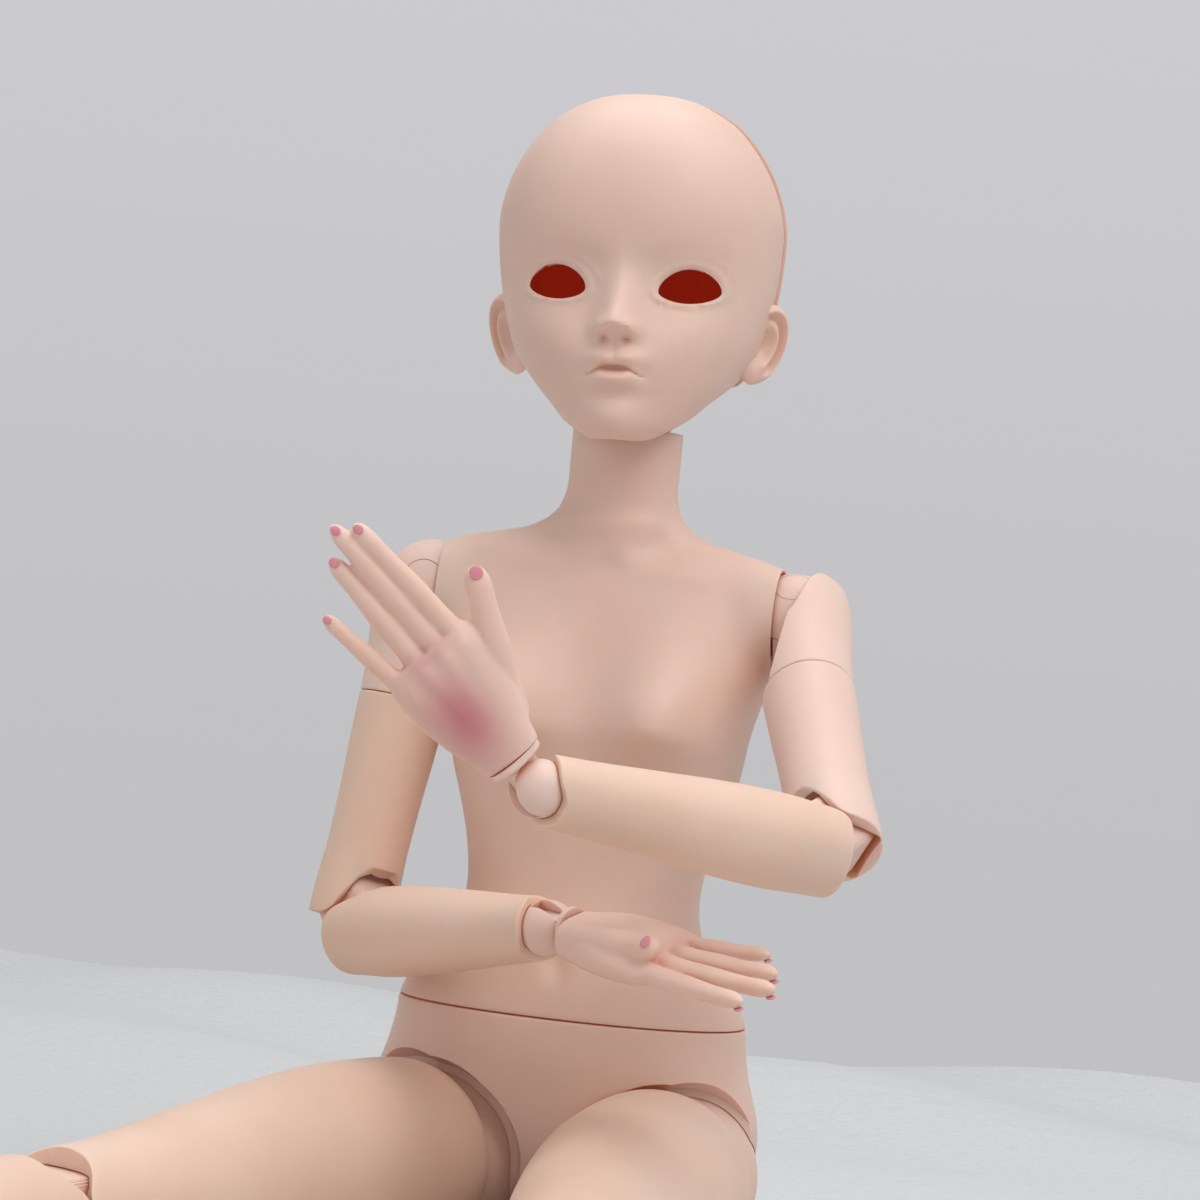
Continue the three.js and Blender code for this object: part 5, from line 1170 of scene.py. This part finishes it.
# %% The legs
CALF_LENGTH, CALF_RADIUS = 121, 17.4
KNEE_SPAN, KNEE_LINK, KNEE_HALF, KNEE_PIN = 17, 11.4, 9.4, 2.2
KNEE_REACH, KNEE_RISE, KNEE_FOLD = 8.1, 11, 65
THIGH_PEG, THIGH_PEG_LENGTH, ANKLE_PEG, ANKLE_PEG_LENGTH = 5, 14, 3.6, 11
FOOT_LENGTH, FOOT_HALF_WIDTH, FOOT_HEIGHT, HEEL_BACK, TOE_LENGTH = 63, 12.2, 15, 14, 10
INSTEP_HEIGHT, FOOT_VOXEL = 16.6, 0.55
CALF_ROWS = [
    [-0.2, 0.9, 0.9, 0.9], [0, 0.92, 0.93, 0.915], [0.12, 0.925, 0.9, 0.95], [0.28, 0.97, 0.86, 0.98],
    [0.5, 0.84, 0.75, 0.86], [0.72, 0.63, 0.62, 0.65], [0.88, 0.53, 0.54, 0.55], [1, 0.55, 0.55, 0.56],
]
FOOT_ROWS = [
    [0, 0.35, 0.3, 0.1], [0.04, 0.56, 0.55, 0.02], [0.14, 0.68, 0.95, 0], [0.25, 0.7, 1, 0],
    [0.4, 0.72, 0.86, 0.03], [0.58, 0.88, 0.66, 0.04], [0.76, 1, 0.5, 0.02], [0.9, 0.98, 0.4, 0.02],
    [1, 0.8, 0.3, 0.06],
]
TOES = (0.72, 0.3, -0.06, -0.4, -0.72)
knee_rim = hinge_rim(KNEE_REACH, KNEE_RISE, KNEE_FOLD, 1, KNEE_REACH * 0.75)


def thigh(side):
    def rim(x, y):
        return -HIP_BALL * (THIGH_RIM + 0.09 * smoothstep(side * x, -HIP_BALL / 2, HIP_BALL))
    piece = limb("thigh", 128, sections(THIGH_ROWS, THIGH_LENGTH, THIGH_RADIUS), KNEE_RISE + FIT * 6 - THIGH_LENGTH,
                 -HIP_BALL * 0.8, lambda x, y: knee_rim(x, y) - THIGH_LENGTH, rim, 60, 0.3)
    return cut(piece, ball(HIP_BALL + FIT, FINE_SIDES),
               link_slot(KNEE_HALF, KNEE_LINK, -THIGH_LENGTH - KNEE_RISE * 2, KNEE_LINK + FIT * 4 - THIGH_LENGTH),
               pin_hole(KNEE_HALF, KNEE_PIN, -THIGH_LENGTH),
               bar("z", THIGH_PEG + FIT, -HIP_BALL - THIGH_PEG_LENGTH - 2 * FIT, 0))


def calf():
    piece = limb("calf", 112, sections(CALF_ROWS, CALF_LENGTH, CALF_RADIUS), -CALF_LENGTH + 4, -KNEE_RISE - FIT * 6,
                 None, lambda x, y: -knee_rim(x, y), 60, 0.6)
    return cut(piece, link_slot(KNEE_HALF, KNEE_LINK, -KNEE_LINK - FIT * 4, KNEE_RISE * 2),
               pin_hole(KNEE_HALF, KNEE_PIN), moved(ball(ANKLE["ball"] + FIT), z=-CALF_LENGTH),
               bar("z", ANKLE_PEG + FIT, -CALF_LENGTH, -CALF_LENGTH + ANKLE["ball"] + ANKLE_PEG_LENGTH))


def foot(side):
    angles = TAU * np.arange(64) / 64
    up = np.sin(angles)
    rings = []
    for share in np.linspace(0, 1, 60):
        _, wide, tall, lift = sample(FOOT_ROWS, share)[0]
        rise = np.where(up > 0, 0.35 + 0.65 * up, 0.35 * (1 + np.maximum(up * 1.4, -1)))
        x = wide * FOOT_HALF_WIDTH * np.cos(angles) * (1 - 0.3 * np.maximum(up, 0))
        x -= side * FOOT_HALF_WIDTH * 0.12 * share
        y = np.full(64, HEEL_BACK - share * (FOOT_LENGTH - TOE_LENGTH))
        rings.append(np.stack([x, y, -FOOT_HEIGHT + lift * FOOT_HEIGHT + tall * INSTEP_HEIGHT * rise], axis=1))
    piece = loft("foot", rings)
    for i, across in enumerate(TOES):
        radius = FOOT_HALF_WIDTH * (0.3 if i == 0 else 0.2)
        toe = ball(radius, 32)
        toe.data.transform(Matrix.Diagonal((1, TOE_LENGTH / radius / 1.6, 0.85, 1)))
        join(piece, moved(toe, -side * FOOT_HALF_WIDTH * (across + 0.12),
                          HEEL_BACK - FOOT_LENGTH + TOE_LENGTH * (0.62 + 0.16 * i), -FOOT_HEIGHT + radius))
    one_skin(piece, FOOT_VOXEL, 6)
    rim = math.hypot(0.56 * CALF_RADIUS, ANKLE["ball"] * 0.5) + 2 * FIT
    far, low, high = -HEEL_BACK - OVERRUN, -ANKLE["ball"] * 0.7, FOOT_HEIGHT
    room = [(far, low), (-ANKLE["ball"] * 0.3, low), (rim, ANKLE["ball"] * 0.35), (rim, high), (far, high)]
    cut(piece, ball(ANKLE["ball"] + FIT), turned(plate(room, FOOT_HALF_WIDTH * 2), "z", -90))
    return join(piece, turned(tongue(ANKLE, ANKLE["ball"] + FIT * 4), "z", 90))


for name, side in SIDES:
    slot_angles = (-92, -54) if side > 0 else (-122, -90)
    quarter = SPOTS[f"{name}_ankle"] @ spin(90, "Z")
    settle_side(name, ball_block(HIP, 180 if side > 0 else 0, HIP_PEG, HIP_HALF_SPAN - 1, *slot_angles),
                "hip_ball", "hip", flesh_resin, "hip_block")
    settle_side(name, ball_pin(HIP), "hip_disc", "hip", joint_resin, "hip_pin")
    settle_side(name, thigh(side), "thigh_skin", "thigh", limb_resin, "thigh", "limb_plastic")
    settle_side(name, hinge_link(KNEE_LINK, KNEE_HALF, KNEE_SPAN, KNEE_PIN), "knee_hinge", "knee",
                joint_resin, "knee_link")
    settle_side(name, calf(), "calf_skin", "calf", limb_resin, "calf", "limb_plastic")
    settle_side(name, ball_block(ANKLE, 90, ANKLE_PEG, ANKLE["ball"] + ANKLE_PEG_LENGTH - FIT, -160, -20),
                "ankle_ball", "ankle", joint_resin, "ankle_block", place=quarter)
    settle_side(name, ball_pin(ANKLE), "ankle_disc", "ankle", joint_resin, "ankle_pin", place=quarter)
    settle_side(name, foot(side), "foot_skin", "foot", joint_resin, "foot", smooth=45)
print("legs done")

# %% [markdown]
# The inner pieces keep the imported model's own meshes: the waist ball, the neck's stem, cross and
# bridge, the magnets, the hinge pins and the hip yokes. They get their real finishes.

# %% Finishes of the inner pieces
STEEL_PIECES = ["neck_cross", "magnet_left", "magnet_right"]
STEEL_PIECES += [f"{name}_{place}_pin_{end}" for name, _ in SIDES for place in ("elbow", "knee")
                 for end in ("upper", "lower")]
INNER_PIECES = ["waist_ball", "neck_stem", "head_bridge", "left_hip_yoke", "right_hip_yoke"]
for pieces, used in ((STEEL_PIECES, steel), (INNER_PIECES, inner_resin)):
    for name in pieces:
        node = frame["nodes"][name]
        node.data.materials.clear()
        node.data.materials.append(used)

# %% [markdown]
# The doll sits on a pale fleece in front of a plain grey wall. The wall is the world's own colour as the
# camera sees it, with painted light that makes it a little lighter toward the top, while the doll is lit
# by a softer sky. The fleece is a sheet with small soft swells, and its pile gives it a dull, broken tone.

# %% The fleece and the wall
PILE_SIZE = 2.5 * MM
WALL_LOW, WALL_HIGH, SKY_COLOUR, SKY_STRENGTH = "#c1c1c3", "#cfced3", "#eceef2", 0.44
FLOOR_WIDTH, FLOOR_DEPTH, FLOOR_FRONT = 3.2, 2.6, -2.02
SWELL_HEIGHT = 0.004


def fleece():
    material, tree = new_material("brushed_fleece")
    pile = noise(tree, PILE_SIZE, 5.0)
    bump = add_node(tree, "ShaderNodeBump", [(pile, "Height")], Strength=0.5, Distance=1.2 * MM)
    principled(tree, [(blend(tree, pile, "#c9caca", "#dadbdb"), "Base Color"), (bump.outputs["Normal"], "Normal")],
               Roughness=0.95, IOR=1.45)
    return material


clear_selection()
bpy.ops.mesh.primitive_grid_add(x_subdivisions=160, y_subdivisions=120, size=1)
floor = bpy.context.object
floor.name = "fleece_floor"
points = point_array(floor)
points[:, 0] *= FLOOR_WIDTH
points[:, 1] = (points[:, 1] + 0.5) * FLOOR_DEPTH + FLOOR_FRONT
x, y, _ = points.T
away = smoothstep(y, 0.1, 0.45)
points[:, 2] = away * SWELL_HEIGHT * (np.sin(x * 23 + 1.3 * np.sin(y * 17)) + np.sin(y * 31 + x * 11))
put_points(floor, points)
floor.data.materials.append(fleece())
edit_all(floor, outward)

world = bpy.context.scene.world or bpy.data.worlds.new("studio")
bpy.context.scene.world = world
world.use_nodes = True
tree = world.node_tree
tree.nodes.clear()
path = add_node(tree, "ShaderNodeLightPath").outputs
seen = path["Is Camera Ray"]
for ray in ("Is Glossy Ray", "Is Transmission Ray"):
    seen = add_node(tree, "ShaderNodeMath", [(seen, 0), (path[ray], 1)], operation="MAXIMUM").outputs[0]
way = add_node(tree, "ShaderNodeTexCoord")
parts = add_node(tree, "ShaderNodeSeparateXYZ", [(way.outputs["Generated"], "Vector")])
# Painted light: the wall is painted a little lighter toward the top
high = add_node(tree, "ShaderNodeMapRange", [(parts.outputs["Z"], "Value")], From_Min=-0.05, From_Max=0.22)
wall = blend(tree, high.outputs["Result"], WALL_LOW, WALL_HIGH)
sky = add_node(tree, "ShaderNodeBackground", Strength=SKY_STRENGTH, Color=linear(SKY_COLOUR))
back = add_node(tree, "ShaderNodeBackground", [(wall, "Color")], Strength=1.0)
both = add_node(tree, "ShaderNodeMixShader", [(seen, 0), (sky.outputs[0], 1), (back.outputs[0], 2)])
add_node(tree, "ShaderNodeOutputWorld", [(both.outputs[0], "Surface")])

# %% [markdown]
# A large soft lamp above and to the right of the picture lights the raised arm and the shoulders
# and leaves the waist and hips in soft shade. A weak one fills from the left, and one from above
# lights the head and the thighs.

# %% The lamps
LAMP_AIM = (0, 0, 0.15)


def lamp(name, place, size, watts):
    clear_selection()
    bpy.ops.object.light_add(type="AREA", location=place)
    light = bpy.context.object
    light.name = name
    light.rotation_euler = (Vector(LAMP_AIM) - Vector(place)).to_track_quat("-Z", "Y").to_euler()
    light.data.size = size
    light.data.energy = watts


lamp("key_light", (0.75, -0.65, 1.3), 1.0, 12)
lamp("fill_light", (-1.1, -1.0, 0.7), 1.2, 3.2)
lamp("top_light", (-0.1, 0.25, 1.5), 1.0, 9)
